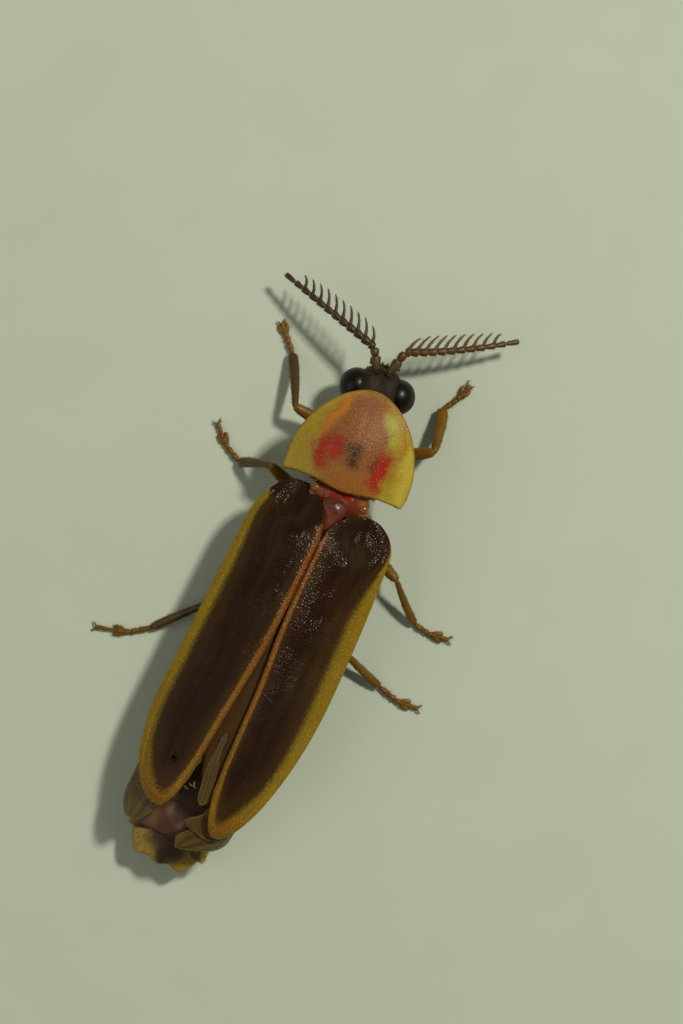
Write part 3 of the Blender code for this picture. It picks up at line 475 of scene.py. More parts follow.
def hammer_sheet(name, columns, rows, column_shift, row_place):
    """A grid beaten to shape: its columns are shifted, then each row is stretched and placed.

    column_shift(across) gives y and z shifts on the unit sheet, across from -1 to 1.
    row_place(share) gives the stretch in x, y and z and the row's place.
    """
    spacing, bench = 10.0, -1000.0
    piece = primitive(name, bpy.ops.mesh.primitive_grid_add, x_subdivisions=columns,
                      y_subdivisions=rows, size=2.0, calc_uvs=True, location=(0.0, bench, 0.0))
    bpy.ops.object.mode_set(mode="EDIT")
    bpy.ops.mesh.select_all(action="SELECT")
    half = spacing * rows / 2.0
    bpy.ops.transform.resize(value=(1.0, half, 1.0), center_override=(0.0, bench, 0.0))
    for column in range(columns + 1):
        across = -1.0 + 2.0 * column / columns
        pick(piece, lambda place, across=across: abs(place.x - across) < 0.5 / columns)
        shift_y, shift_z = column_shift(across)
        bpy.ops.transform.translate(value=(0.0, shift_y, shift_z))
    for row in range(rows + 1):
        level = bench - half + spacing * row
        pick(piece, lambda place, level=level: abs(place.y - level) < spacing * 0.4)
        stretch, place = row_place(row / rows)
        bpy.ops.transform.resize(value=stretch, center_override=(0.0, level, 0.0))
        bpy.ops.transform.translate(value=(place[0], place[1] - level, place[2]))
    bpy.ops.mesh.select_all(action="SELECT")
    if sum(face.normal.z for face in bmesh.from_edit_mesh(piece.data).faces) < 0.0:
        bpy.ops.mesh.flip_normals()
    bpy.ops.object.mode_set(mode="OBJECT")
    return piece


def thicken(piece, depth):
    """Give a sheet its thickness on the underside."""
    shell = piece.modifiers.new("shell", "SOLIDIFY")
    shell.thickness = depth
    shell.offset = -1.0
    bake_modifiers(piece)
    return piece


def unwrap(piece):
    """Lay out the skin's own surface for the hairs' bake map."""
    take(piece)
    bpy.ops.object.mode_set(mode="EDIT")
    bpy.ops.mesh.select_all(action="SELECT")
    bpy.ops.uv.smart_project(angle_limit=math.radians(66.0), island_margin=0.01)
    bpy.ops.object.mode_set(mode="OBJECT")


def shell(piece, depth, levels, place=None):
    """Make a beaten sheet a rounded shell, its skin laid out for the hairs' bake map."""
    thicken(piece, depth)
    if place:
        apply_place(piece, place)
    tidy_normals(piece)
    unwrap(piece)
    soften(piece, levels)


def values_of(items, name, width, kind=float):
    """One property of all points, corners or triangles, a row each."""
    values = numpy.zeros(len(items) * width, kind)
    items.foreach_get(name, values)
    return values.reshape(-1, width)


def hair_field(name, skin, per_mm2, length, thick, lift, seed, keep=None, wander=0.35):
    """Fine tapering hairs rooted all over a skin and leaning along its lie."""
    draw = numpy.random.default_rng(seed)
    mesh = skin.data
    mesh.calc_loop_triangles()
    corners = values_of(mesh.loop_triangles, "vertices", 3, numpy.int32)
    loops = values_of(mesh.loop_triangles, "loops", 3, numpy.int32)
    places = values_of(mesh.vertices, "co", 3)
    lies = values_of(mesh.attributes["lie"].data, "vector", 3)
    flat = values_of(mesh.uv_layers.active.data, "uv", 2)
    first, second, third = (places[corners[:, side]] for side in range(3))
    cross = numpy.cross(second - first, third - first)
    area = numpy.linalg.norm(cross, axis=1) / 2.0
    total = int(area.sum() * per_mm2)
    chosen = draw.choice(len(corners), total, p=area / area.sum())
    one, two = draw.random(total), draw.random(total)
    over = one + two > 1.0
    one[over], two[over] = 1.0 - one[over], 1.0 - two[over]
    weights = numpy.stack([1.0 - one - two, one, two], axis=1)[:, :, None]
    root = (places[corners[chosen]] * weights).sum(axis=1)
    lie = (lies[corners[chosen]] * weights).sum(axis=1)
    root_flat = (flat[loops[chosen]] * weights).sum(axis=1)
    normal = cross[chosen] / numpy.maximum(1e-12, 2.0 * area[chosen])[:, None]
    if keep is not None:
        kept = keep(root, normal)
        root, lie, root_flat, normal = root[kept], lie[kept], root_flat[kept], normal[kept]
        total = len(root)
    lie = lie + draw.normal(0.0, wander, (total, 3))
    lie -= (lie * normal).sum(axis=1)[:, None] * normal
    lie /= numpy.maximum(1e-6, numpy.linalg.norm(lie, axis=1))[:, None]
    side = numpy.cross(normal, lie)
    long = length * draw.uniform(0.7, 1.25, total)[:, None]
    raised = lift * draw.uniform(0.6, 1.4, total)[:, None]
    middle = root + lie * long * 0.5 + normal * long * 0.5 * raised
    tip = root + lie * long + normal * long * raised * 0.75
    sunk = root - normal * thick
    rings = []
    for centre, size in ((sunk, thick), (middle, thick * 0.7)):
        for turn in range(3):
            angle = 2.0 * math.pi * turn / 3.0
            rings.append(centre + side * math.cos(angle) * size + normal * math.sin(angle) * size)
    points = numpy.stack(rings + [tip], axis=1).reshape(-1, 3)
    pattern = numpy.array([(0, 1, 4), (0, 4, 3), (1, 2, 5), (1, 5, 4), (2, 0, 3), (2, 3, 5),
                           (3, 4, 6), (4, 5, 6), (5, 3, 6), (2, 1, 0)])
    faces = (pattern[None, :, :] + (numpy.arange(total) * 7)[:, None, None]).reshape(-1, 3)
    mesh_out = bpy.data.meshes.new(name)
    mesh_out.from_pydata(points.tolist(), [], faces.tolist())
    layer = mesh_out.uv_layers.new(name="OFBake")
    patch = numpy.array([(0.0, 0.0), (0.003, 0.0), (0.0015, 0.001), (0.0, 0.0015),
                         (0.003, 0.0015), (0.0015, 0.002), (0.0015, 0.003)])
    map_points = (root_flat[:, None, :] + patch[None, :, :]).reshape(-1, 2)
    layer.data.foreach_set("uv", map_points[faces.reshape(-1)].astype(numpy.float32).reshape(-1))
    piece = bpy.data.objects.new(name, mesh_out)
    bpy.context.scene.collection.objects.link(piece)
    take(piece)
    bpy.ops.object.shade_smooth()
    return piece


def furred(piece, slot, finish, nodes, name, hair, coat, place=None, **more):
    """Grow hairs on a piece, put both in their place and give both their finish."""
    hairs = hair_field(name, piece, *hair, **more)
    if place:
        apply_place(piece, place)
        apply_place(hairs, place)
    settle(piece, slot, finish, *nodes)
    settle(hairs, slot, coat)


def settle(piece, slot, material, *nodes):
    """Turn a finished piece to metres, put it in the frame and give it its finish."""
    piece.data.materials.clear()
    piece.data.materials.append(material)
    apply_place(piece, Matrix.Translation(ORIGIN) @ Matrix.Scale(METRE_PER_MM, 4))
    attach(piece, "root")
    if nodes:
        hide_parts(*nodes)
    return piece


# Materials

def paint(code):
    """Linear colour from an sRGB hex value."""
    values = [int(code[place:place + 2], 16) / 255.0 for place in (1, 3, 5)]
    return tuple(value / 12.92 if value <= 0.04045 else ((value + 0.055) / 1.055) ** 2.4
                 for value in values) + (1.0,)


class Finish:
    """A material being made: its tree and shader, and the piece's own place."""

    def __init__(self, name, constants):
        """Start a material and set constants on its shader."""
        self.material = bpy.data.materials.new(name)
        self.material.use_nodes = True
        self.tree = self.material.node_tree
        self.shader = self.tree.nodes["Principled BSDF"]
        for socket, value in constants.items():
            self.shader.inputs[socket].default_value = value
        self.place = self.add("ShaderNodeTexCoord").outputs["Object"]

    def add(self, kind, sockets=None, **settings):
        """Add a node, set its options, and set or link its sockets."""
        made = self.tree.nodes.new(kind)
        for option, value in settings.items():
            setattr(made, option, value)
        for socket, value in (sockets or {}).items():
            if isinstance(value, bpy.types.NodeSocket):
                self.tree.links.new(value, made.inputs[socket])
            else:
                made.inputs[socket].default_value = value
        return made

    def attribute(self, name):
        """A number noted on the points."""
        return self.add("ShaderNodeAttribute", attribute_name=name).outputs["Fac"]

    def noise(self, per_mm, detail=2.0, distortion=0.0, at=None):
        """Soft noise with so many swellings a millimetre."""
        return self.add("ShaderNodeTexNoise", {
            "Vector": self.place if at is None else at, "Scale": per_mm / METRE_PER_MM,
            "Detail": detail, "Distortion": distortion}).outputs["Fac"]

    def cells(self, per_mm, randomness=1.0):
        """How far it is to the middle of the nearest of so many cells a millimetre."""
        return self.add("ShaderNodeTexVoronoi", {
            "Vector": self.place, "Scale": per_mm / METRE_PER_MM,
            "Randomness": randomness}).outputs["Distance"]

    def blend(self, share, below, above):
        """Two colours mixed by a share."""
        below, above = (paint(tone) if isinstance(tone, str) else tone for tone in (below, above))
        return self.add("ShaderNodeMix", {0: share, 6: below, 7: above}, data_type="RGBA").outputs[2]

    def ramp(self, value, span, ends, shape="LINEAR"):
        """A value's span spread between two ends."""
        sockets = zip(("Value", "From Min", "From Max", "To Min", "To Max"), (value, *span, *ends))
        return self.add("ShaderNodeMapRange", dict(sockets), interpolation_type=shape).outputs[0]

    def sums(self, operation, *values):
        """Sums of numbers."""
        return self.add("ShaderNodeMath", dict(enumerate(values)), operation=operation).outputs[0]

    def vector(self, operation, *values, out="Vector"):
        """Sums of places."""
        return self.add("ShaderNodeVectorMath", dict(enumerate(values)), operation=operation).outputs[out]

    def strokes(self, marks, noise, far, colour):
        """Lay soft strokes of colour, their edges made uneven by a noise, over the colour below."""
        local = self.add("ShaderNodeCombineXYZ", {"X": self.attribute("aside_mm"),
                                                  "Y": self.attribute("ahead_mm")}).outputs["Vector"]
        drift = self.vector("SUBTRACT", noise.node.outputs["Color"], (0.5, 0.5, 0.5))
        place = self.vector("MULTIPLY_ADD", drift, (far, far, 0.0), local)
        for start, end, reach, blur, strength, tint in marks:
            start, end = Vector((*start, 0.0)), Vector((*end, 0.0))
            way = end - start
            offset = self.vector("SUBTRACT", place, start)
            along = self.vector("DOT_PRODUCT", offset, way / max(1e-6, way.length_squared), out="Value")
            share = self.add("ShaderNodeClamp", {"Value": along}).outputs[0]
            near = self.add("ShaderNodeVectorMath", {0: way, "Scale": share}, operation="SCALE")
            away = self.vector("DISTANCE", offset, near.outputs["Vector"], out="Value")
            cover = self.ramp(away, (reach - blur, reach + blur), (strength, 0.0), "SMOOTHSTEP")
            colour = self.blend(cover, colour, tint)
        return colour

    def coloured(self, colour):
        """Plug in the colour and hand over the material."""
        self.tree.links.new(colour, self.shader.inputs["Base Color"])
        return self.material

    def raised(self, colour, height, strength, deep_mm, invert=False):
        """Plug in the colour and the relief and hand over the material."""
        bump = self.add("ShaderNodeBump", {"Height": height, "Strength": strength,
                                           "Distance": deep_mm * METRE_PER_MM}, invert=invert)
        self.tree.links.new(bump.outputs["Normal"], self.shader.inputs["Normal"])
        return self.coloured(colour)


def mottled(name, dark, light, grain_mm, bump_mm, roughness, patch_mm=0.5, specular=0.5, over=None):
    """Cuticle: two tones in soft patches over a fine grain, and what a function lays over them."""
    finish = Finish(name, {"Roughness": roughness, "Specular IOR Level": specular})
    colour = finish.blend(finish.noise(1.0 / patch_mm, 3.0), dark, light)
    if over:
        colour = over(finish, colour)
    return finish.raised(colour, finish.cells(1.0 / grain_mm), 0.6, bump_mm)


def marked(marks):
    """Soft strokes of colour over a mottled cuticle."""
    return lambda finish, colour: finish.strokes(marks, finish.noise(3.0, 4.0), 0.25, colour)


def cleared(tip):
    """Feeler cuticle that clears towards the tips of the branches."""
    return lambda finish, colour: finish.blend(
        finish.ramp(finish.attribute("tip"), (0.25, 0.95), (0.0, 0.75)), colour, tip)


def lantern(finish, colour):
    """A smooth, waxy cream-coloured light organ on the underside."""
    normal = finish.add("ShaderNodeNewGeometry").outputs["True Normal"]
    facing_up = finish.add("ShaderNodeSeparateXYZ", {0: normal}).outputs["Z"]
    return finish.blend(finish.ramp(facing_up, (-0.45, -0.30), (1.0, 0.0)), colour, "#cdbf88")


def elytron_cuticle():
    """Leathery wing-case cuticle: dark brown and grainy, its rim a clear amber-yellow."""
    finish = Finish("wing_case_cuticle", {
        "Specular IOR Level": 0.17, "Subsurface Weight": 0.08, "Subsurface Radius": (1.0, 0.5, 0.15),
        "Subsurface Scale": 0.00012})
    fuzz = finish.noise(16.0)
    wobble = finish.sums("MULTIPLY_ADD", fuzz, 0.10, -0.05)
    inside = finish.sums("ADD", finish.attribute("inside_mm"), wobble)
    yellow = finish.ramp(inside, (-0.06, 0.08), (1.0, 0.0), "SMOOTHSTEP")
    olive = finish.ramp(inside, (0.0, 0.42), (0.62, 0.0), "SMOOTHSTEP")
    rim = finish.blend(finish.attribute("warm"), "#8c7618", "#7a401e")
    rim = finish.blend(0.25, rim, finish.blend(fuzz, rim, "#765710"))
    stretched = finish.vector("MULTIPLY", finish.place, (1.0, 0.12, 1.0))
    streaks = finish.ramp(finish.noise(2.6, 3.0, at=stretched), (0.46, 0.70), (0.0, 0.55))
    brown = finish.blend(finish.noise(1.4, 4.0), "#1a0d06", "#30190c")
    field = finish.blend(olive, finish.blend(streaks, brown, "#3c2c14"), "#463110")
    colour = finish.blend(yellow, field, rim)
    # Grains about 0.06 mm apart over crumpled wrinkles, as in leathery wing cases
    grains = finish.cells(17.0)
    # Painted glints: the grains of the yellow bands are flecked pale gold, as if catching the light
    painted_glints = finish.sums("MULTIPLY", finish.ramp(grains, (0.05, 0.32), (0.85, 0.0)), yellow)
    glint_flecked = finish.blend(painted_glints, colour, "#ccac48")
    relief = finish.sums("MULTIPLY_ADD", finish.noise(9.5, 2.0, 0.8), 0.8, grains)
    crumple = finish.attribute("crumple")
    patchy = finish.ramp(finish.noise(1.7, 3.0), (0.38, 0.64), (0.40, 1.0))
    height = finish.sums("MULTIPLY", relief, finish.sums("MULTIPLY", crumple, patchy))
    matt = finish.ramp(crumple, (0.45, 0.95), (0.50, 0.25))
    finish.tree.links.new(matt, finish.shader.inputs["Roughness"])
    return finish.raised(finish.blend(finish.attribute("bead"), glint_flecked, "#3e1810"), height, 1.0, 0.023)


def shield_cuticle():
    """Clear horny cuticle of the shield: olive-yellow rim, rose-brown disc, two red patches."""
    finish = Finish("shield_cuticle", {
        "Roughness": 0.44, "Specular IOR Level": 0.35, "Subsurface Weight": 0.22,
        "Subsurface Radius": (1.0, 0.55, 0.12), "Subsurface Scale": 0.00018})
    soft, fine = finish.noise(2.2, 5.0), finish.noise(15.0)
    rose = finish.blend(fine, "#744224", "#965a32")
    marks = [(*mark, tint or rose) for *mark, tint in SHIELD_MARKS]
    colour = finish.strokes(marks, soft, 0.55, finish.blend(fine, "#b5a32c", "#93801e"))
    seam = finish.ramp(finish.attribute("edge_mm"), (0.02, 0.09), (0.80, 0.0))
    pits = finish.cells(19.0)
    # Painted glints: the pits are flecked pale, as if their granules caught the light
    painted_glints = finish.ramp(pits, (0.04, 0.34), (0.60, 0.0))
    colour = finish.blend(painted_glints, finish.blend(seam, colour, "#865410"), "#cba266")
    return finish.raised(colour, finish.sums("MULTIPLY_ADD", soft, 0.6, pits), 0.8, 0.014)


def eye_lens():
    """Glossy black eye, its lenses a fine mesh of bumps about 0.03 mm apart."""
    finish = Finish("compound_eye", {"Roughness": 0.36, "Specular IOR Level": 0.26, "Coat Weight": 0.06,
                                     "Coat Roughness": 0.20})
    colour = finish.blend(finish.noise(1.5), "#060504", "#12110b")
    return finish.raised(colour, finish.cells(33.0, 0.15), 0.25, 0.006, invert=True)


def membrane():
    """Smoky, clear wing membrane: thin dry film with a faint gloss."""
    finish = Finish("wing_membrane", {"Roughness": 0.35, "Alpha": 0.70})
    smoke = finish.blend(finish.noise(1.6, 4.0), "#493914", "#6a5622")
    pale = finish.ramp(finish.attribute("edge_mm"), (0.0, 0.05), (0.6, 0.0))
    return finish.raised(finish.blend(pale, smoke, "#8a7c4c"), finish.noise(5.0, 3.0), 0.5, 0.02)


def plain(name, first, second, roughness, per_mm):
    """Two tones in soft patches without relief."""
    finish = Finish(name, {"Roughness": roughness})
    return finish.coloured(finish.blend(finish.noise(per_mm), first, second))


ELYTRON = elytron_cuticle()
SHIELD = shield_cuticle()
EYE = eye_lens()
MEMBRANE = membrane()
HAIR_GOLD = plain("golden_hair", "#a08a60", "#5a4424", 0.28, 3.0)
HAIR_AMBER = plain("amber_hair", "#9a7026", "#5a4424", 0.28, 3.0)
HAIR_DARK = plain("brown_hair", "#6a5030", "#5a4424", 0.28, 3.0)
HAIR_CASE = plain("wing_case_hair", "#2e1c10", "#4a3018", 0.28, 3.0)
CARD = plain("pale_card", "#bdccc0", "#c3d2c6", 0.80, 0.4)
HEAD_CUTICLE = mottled("head_cuticle", "#140d06", "#281a0e", 0.045, 0.016, 0.60, specular=0.3)
FEELER = mottled("feeler_cuticle", "#332207", "#5a4010", 0.04, 0.006, 0.45)
COMB = {"left": mottled("left_comb_cuticle", "#1e1204", "#362206", 0.04, 0.005, 0.45,
                        over=cleared("#5c4410")),
        "right": mottled("right_comb_cuticle", "#3a2604", "#5c3e08", 0.04, 0.005, 0.45,
                         over=cleared("#6e5410"))}
FEELER_PALE = mottled("feeler_joint_skin", "#7a6222", "#8e7630", 0.05, 0.004, 0.4)
LEG = mottled("leg_cuticle", "#5a3e04", "#85600c", 0.05, 0.006, 0.40, specular=0.32)
# Darker leg cuticle, also used as painted shade on the hind left shin
LEG_DARK_AND_SHADED = mottled("dark_and_shaded_leg_cuticle", "#33240c", "#563e10", 0.05, 0.006, 0.36)
TRUNK = mottled("trunk_cuticle", "#24160e", "#4a2f1c", 0.05, 0.008, 0.45)
BELLY = mottled("belly_cuticle", "#5a3a1c", "#86602e", 0.05, 0.008, 0.45)
LANTERN = mottled("lantern_cuticle", "#3a2010", "#5a3418", 0.05, 0.006, 0.42, over=lantern)
MID_PLATE = mottled("red_brown_plate", "#5e2514", "#78381c", 0.17, 0.03, 0.22, over=marked(PLATE_MARKS))
TONGUE = mottled("rose_plate", "#4c2010", "#66301a", 0.14, 0.02, 0.30, over=marked(TONGUE_MARKS_AND_SHADOW))
KNOB = mottled("amber_hinge", "#5a3210", "#8a5a20", 0.09, 0.004, 0.16, 0.3)
VEIN = mottled("vein_cuticle", "#3a2f16", "#504424", 0.05, 0.004, 0.35)
FOLD = mottled("folded_membrane", "#36250e", "#4c3514", 0.12, 0.006, 0.60, specular=0.12)
RAG = mottled("torn_membrane", "#756852", "#a09278", 0.05, 0.004, 0.40)
TAIL = mottled("tail_cuticle", "#7e6614", "#988026", 0.06, 0.006, 0.38, over=marked(TAIL_MARKS))
LAST_RING = mottled("last_ring_cuticle", "#351e10", "#54321a", 0.06, 0.006, 0.38,
                    over=marked(RING_MARKS))
# Rings that aren't plain brown, and how far down their hairs go: the light organs are bare
RING_FINISH = {5: (LANTERN, -0.3), 6: (LANTERN, -0.3), 7: (LAST_RING, -2.0)}


# Attributes that the markings read

def seen_from_above(piece):
    """The points' places in mm, x and y only."""
    return values_of(piece.data.vertices, "co", 3)[:, :2]


def line_distance(places, line):
    """How far each place is from an open line."""
    line = numpy.array(line)
    nearest = numpy.full(len(places), 1e9)
    for start, end in zip(line[:-1], line[1:]):
        way = end - start
        share = numpy.clip(((places - start) @ way) / max(1e-12, way @ way), 0.0, 1.0)
        nearest = numpy.minimum(nearest, numpy.linalg.norm(places - start - share[:, None] * way, axis=1))
    return nearest


def edge_distance(piece, outline):
    """Note on every point how far it is, seen from above, from a closed outline."""
    places = seen_from_above(piece)
    note(piece, "edge_mm", line_distance(places, outline + outline[:1]))
    return places


def note_places(piece):
    """Store every point's body place, aside and back, in mm."""
    places = seen_from_above(piece)
    note(piece, "aside_mm", places[:, 0])
    note(piece, "ahead_mm", places[:, 1])


def note(piece, name, values):
    """Store one number for each point."""
    made = piece.data.attributes.new(name, "FLOAT", "POINT")
    made.data.foreach_set("value", numpy.asarray(values, numpy.float32))


# Wing cases

def elytron_widths(side, along):
    """Inner and outer half widths of a wing case at a distance along it."""
    behind = ELYTRON_LENGTH - along
    share = along / ELYTRON_LENGTH
    swell = 4.0 * share * (1.0 - share)
    outer = mix(ELYTRON_OUTER_WIDTH[side], share) + ELYTRON_OUTER_BOW[side] * swell
    inner = mix(ELYTRON_INNER_WIDTH[side], share) + ELYTRON_INNER_BOW[side] * swell
    hollow, start, reach = ELYTRON_HOLLOW[side]
    inner -= hollow * smooth((share - start) / reach) * (1.0 - smooth((share - 0.82) / 0.16))
    front, back = ELYTRON_OUTER_ROUND[side]
    outer *= round_end(along, front) * round_end(behind, back)
    front, back = ELYTRON_INNER_ROUND[side]
    inner *= round_end(along, front) * round_end(behind, back)
    return inner, outer


def elytron_row(side, share):
    """Distance along and the widths of a row, closer together at the rounded ends."""
    along = crowded(share) * ELYTRON_LENGTH
    return along, *elytron_widths(side, along)


def elytron(side):
    """A wing case: a thin arched shell with a gutter, a beaded seam and three faint ribs."""
    sign = SIDES[side]
    front, turn = ELYTRON_FRONT[side], ELYTRON_TURN[side]
    columns, rows = 24, 48

    def height_at(aside, along):
        x = front[0] + sign * (aside * math.cos(turn) - along * math.sin(turn))
        curl = 0.0
        for distance, (drop, reach) in zip((along, ELYTRON_LENGTH - along), ELYTRON_CURL):
            curl += drop * max(0.0, 1.0 - distance / reach) ** 2
        return roof(x, front[1] + along * math.cos(turn) + aside * math.sin(turn)) - curl

    def column_shift(across):
        part = (across + 1.0) / 2.0
        return 0.0, -part ** 1.9

    def row_place(share):
        along, inner, outer = elytron_row(side, share)
        high, low = height_at(-inner, along), height_at(outer, along)
        stretch = ((inner + outer) / 2.0, 1.0, max(0.001, high - low))
        return stretch, ((outer - inner) / 2.0, along, high)

    def on_rib(place, part):
        if not 0.5 < place.y < ELYTRON_LENGTH - 0.9:
            return False
        inner, outer = elytron_widths(side, place.y)
        return abs((place.x + inner) / (inner + outer) - part) < 0.3 / columns

    piece = hammer_sheet("elytron_" + side, columns, rows, column_shift, row_place)
    steps = []
    for part, along, rise, reach in ELYTRON_RELIEF:
        inner, outer = elytron_widths(side, along)
        spot = Vector((mix((-inner, outer), part), along))
        steps.append((lambda place, spot=spot: (place.xy - spot).length < 0.16, (0.0, 0.0, rise), reach))
    for column, rise in ELYTRON_RIBS:
        steps.append((lambda place, part=column / columns: on_rib(place, part), (0.0, 0.0, rise)))
    push(piece, *steps)
    place = Matrix.Translation((front[0], front[1], 0.0)) @ Matrix.Diagonal((sign, 1.0, 1.0, 1.0))
    place = place @ Matrix.Rotation(turn, 4, "Z")
    shell(piece, ELYTRON_SHELL, 2, place)
    if side == "left":
        for reach, rise in (PIT_RIM, PIT_FLOOR):
            push(piece, (lambda spot, reach=reach: math.dist(spot[:2], PIT_AT) < reach and spot.z > 2.0,
                         (0.0, 0.0, rise)))
    mark_elytron(piece, side, place)
    set_lie(piece)
    furred(piece, "wing_case", ELYTRON, ("elytron_" + side,), "elytron_hairs_" + side,
           (*HAIRS["wing_case"], ELYTRON_SEED[side]), HAIR_CASE,
           keep=lambda root, normal: normal[:, 2] > 0.1)


def mark_elytron(piece, side, place):
    """Note how far inside the yellow bands each point lies, how warm they are, and the seam's bead."""
    steps = 120
    seam_line, margin_line = [], []
    for step in range(steps + 1):
        along, inner, outer = elytron_row(side, step / steps)
        for line, aside in ((seam_line, -inner), (margin_line, outer)):
            point = place @ Vector((aside, along, 0.0))
            line.append((point.x, point.y))
    places = seen_from_above(piece)
    from_seam = line_distance(places, seam_line)
    from_margin = line_distance(places, margin_line)
    back = place.inverted()
    inside, warms, beads, crumples = [], [], [], []
    for point, seam_far, margin_far in zip(piece.data.vertices, from_seam, from_margin):
        along = min(max((back @ point.co).y, 0.02), ELYTRON_LENGTH - 0.02)
        share = along / ELYTRON_LENGTH
        start, reach, wider = TIP_BAND
        wider *= smooth((along - start) / reach)
        seam = (mix(SEAM_BAND[side], share) + wider) * smooth((along - SEAM_START) / 0.35)
        front, middle, hind = LATERAL_BAND[side]
        margin = mix((mix((front, middle), smooth((along - 0.1) / 3.0)), hind), smooth((along - 4.5) / 3.5))
        margin += wider
        margin *= smooth((along - LATERAL_START[side]) / 0.4)
        ratios = [max(0.02, far) / max(0.004, band) for far, band in ((seam_far, seam), (margin_far, margin))]
        ratio = sum(value ** -3.0 for value in ratios) ** (-1.0 / 3.0)
        inside.append(min(2.0, (ratio - 1.0) * 0.22))
        near_seam = margin_far / max(0.01, margin_far + seam_far)
        warms.append(max(near_seam * (1.0 - 0.55 * share), 0.5 * smooth((along - 8.0) / 1.5)))
        crumples.append(mix((1.0, 0.50), smooth((along - 1.8) / 6.5)))
        beads.append(smooth((0.048 - seam_far) / 0.03) * (1.0 - 0.6 * smooth((along - 1.5) / 2.5)))
    note(piece, "inside_mm", inside)
    note(piece, "warm", warms)
    note(piece, "bead", beads)
    note(piece, "crumple", crumples)


# Folded hind wings

def wing_edges(side, share):
    """Height along, outer and inner edge of a folded hind wing at a share of its length."""
    if side == "left":
        outer = 1.48 + 0.42 * smooth(share * 2.0)
        inner = -0.06 + 0.16 * share + 0.85 * smooth((share - 0.62) / 0.36)
    else:
        outer = -1.50 - 0.38 * smooth(share * 2.0) + 0.54 * smooth((share - 0.70) / 0.20)
        outer += 1.15 * max(0.0, (share - 0.90) / 0.10) ** 2.8
        inner = 0.02 - 0.44 * smooth((share - 0.45) / 0.30) + 0.52 * smooth((share - 0.90) / 0.07)
    return rounded_edges(0.0, WING_END[side], outer, inner, share, 0.8 if side == "left" else 0.35)


def rounded_edges(start, end, outer, inner, share, reach):
    """The two edges drawn together at both ends of a membrane."""
    middle = (outer + inner) / 2.0
    along = share * (end - start)
    rounding = round_end(along, reach) * round_end(end - start - along, reach)
    return start + along, middle + (outer - middle) * rounding, middle + (inner - middle) * rounding


def blade_edges(share):
    """The narrow fold that lies in the slit between the wing cases."""
    start, end = BLADE_ENDS
    y = mix(BLADE_ENDS, share)
    middle = 0.03 - 0.20 * smooth((y - 6.4) / 1.6)
    half = 0.07 + 0.12 * smooth((y - start) / 1.4)
    return rounded_edges(start, end, middle - half, middle + half, share, 0.30)


def pad_edges(share):
    """The brown fold under the blade, seen down the slit."""
    inner = 0.45 - 0.30 * smooth((share - 0.80) / 0.2)
    return rounded_edges(0.9, 7.5, -0.35, inner, share, 0.30)


def flap_edges(share):
    """The pointed fold over the tip of the right wing."""
    inner = -0.36 + 0.44 * smooth((share - 0.30) / 0.45) * (1.0 - smooth((share - 0.82) / 0.18) * 0.8)
    return rounded_edges(7.9, 8.84, -1.15, inner, share, 0.20)


def wing_sheet(name, columns, rows, edges, sink, pleat):
    """One thin folded membrane between two edges, lightly pleated along its length."""
    def column_shift(across):
        return 0.0, pleat * math.cos(math.pi * 3.0 * across)

    def row_place(share):
        y, outer, inner = edges(crowded(share))
        middle = (outer + inner) / 2.0
        return (abs(outer - inner) / 2.0, 1.0, 1.0), (middle, y, roof(middle, y) - sink)

    piece = hammer_sheet(name, columns, rows, column_shift, row_place)
    rim = [edges(crowded(step / 60.0)) for step in range(61)]
    outline = [(outer, y) for y, outer, _ in rim] + [(inner, y) for y, _, inner in reversed(rim)]
    start, end = edges(0.0)[0], edges(1.0)[0]
    for point in piece.data.vertices:
        _, outer, inner = edges(min(1.0, max(0.0, (point.co.y - start) / (end - start))))
        point.co.z += roof(point.co.x, point.co.y) - roof((outer + inner) / 2.0, point.co.y)
    shell(piece, 0.025, 1)
    edge_distance(piece, outline)
    set_lie(piece)
    return piece


def hind_wing(side):
    """One folded hind wing with its main veins."""
    sink, pleat = WING_SINK[side], WING_PLEAT[side]
    piece = wing_sheet("hind_wing_" + side, 18, 44, lambda part: wing_edges(side, part), sink, pleat)
    veins = []
    for number, across in enumerate(VEINS_ACROSS):
        path = []
        for step in range(13):
            y, outer, inner = wing_edges(side, 0.05 + 0.90 * step / 12.0)
            x = mix((inner, outer), across)
            path.append((x, y, roof(x, y) - sink + pleat * math.cos(3.0 * math.pi * (across * 2.0 - 1.0))))
        veins.append(vein_cord("vein_%s_%d" % (side, number), path, 0.020))
    piece_veins = join("hind_wing_veins_" + side, veins)
    settle(piece, "wing_membrane", MEMBRANE, "hind_wing_" + side)
    settle(piece_veins, "wing_membrane", VEIN)


def wing_folds():
    """The folds of the right wing that show: blade and pad in the slit, and the flap at the tip."""
    blade = wing_sheet("wing_blade", 8, 30, blade_edges, BLADE_DEPTH, 0.02)
    flap = wing_sheet("wing_flap", 8, 12, flap_edges, WING_DEPTH, 0.015)
    settle(wing_sheet("wing_pad", 8, 30, pad_edges, PAD_DEPTH, 0.015), "wing_membrane", FOLD)
    settle(blade, "wing_membrane", MEMBRANE)
    settle(flap, "wing_membrane", MEMBRANE)
    cords = []
    for offset in (-0.10, 0.0, 0.10):
        path = []
        for step in range(11):
            part = 0.06 + 0.86 * step / 10.0
            y, outer, inner = blade_edges(part)
            x = (outer + inner) / 2.0 + offset * (0.7 + 0.6 * part)
            path.append((x, y, roof(x, y) - BLADE_DEPTH + 0.01))
        cords.append(vein_cord("blade_vein", path, 0.010))
    settle(join("wing_blade_veins", cords), "wing_membrane", VEIN)
    rags = [article("rag", RAG_SHAPE, start, end, 8) for start, end in RAG_ENDS]
    settle(join("wing_rags", rags), "wing_membrane", RAG)


def vein_cord(name, path, thick):
    """A tapering vein that follows a path on the membrane."""
    stations = []
    for place, (x, y, z) in enumerate(path):
        size = thick * (1.0 - 0.6 * place / (len(path) - 1))
        stations.append((y, size, size, x, z))
    return soften(draw_out(name, stations, 8), 0)


# Shield

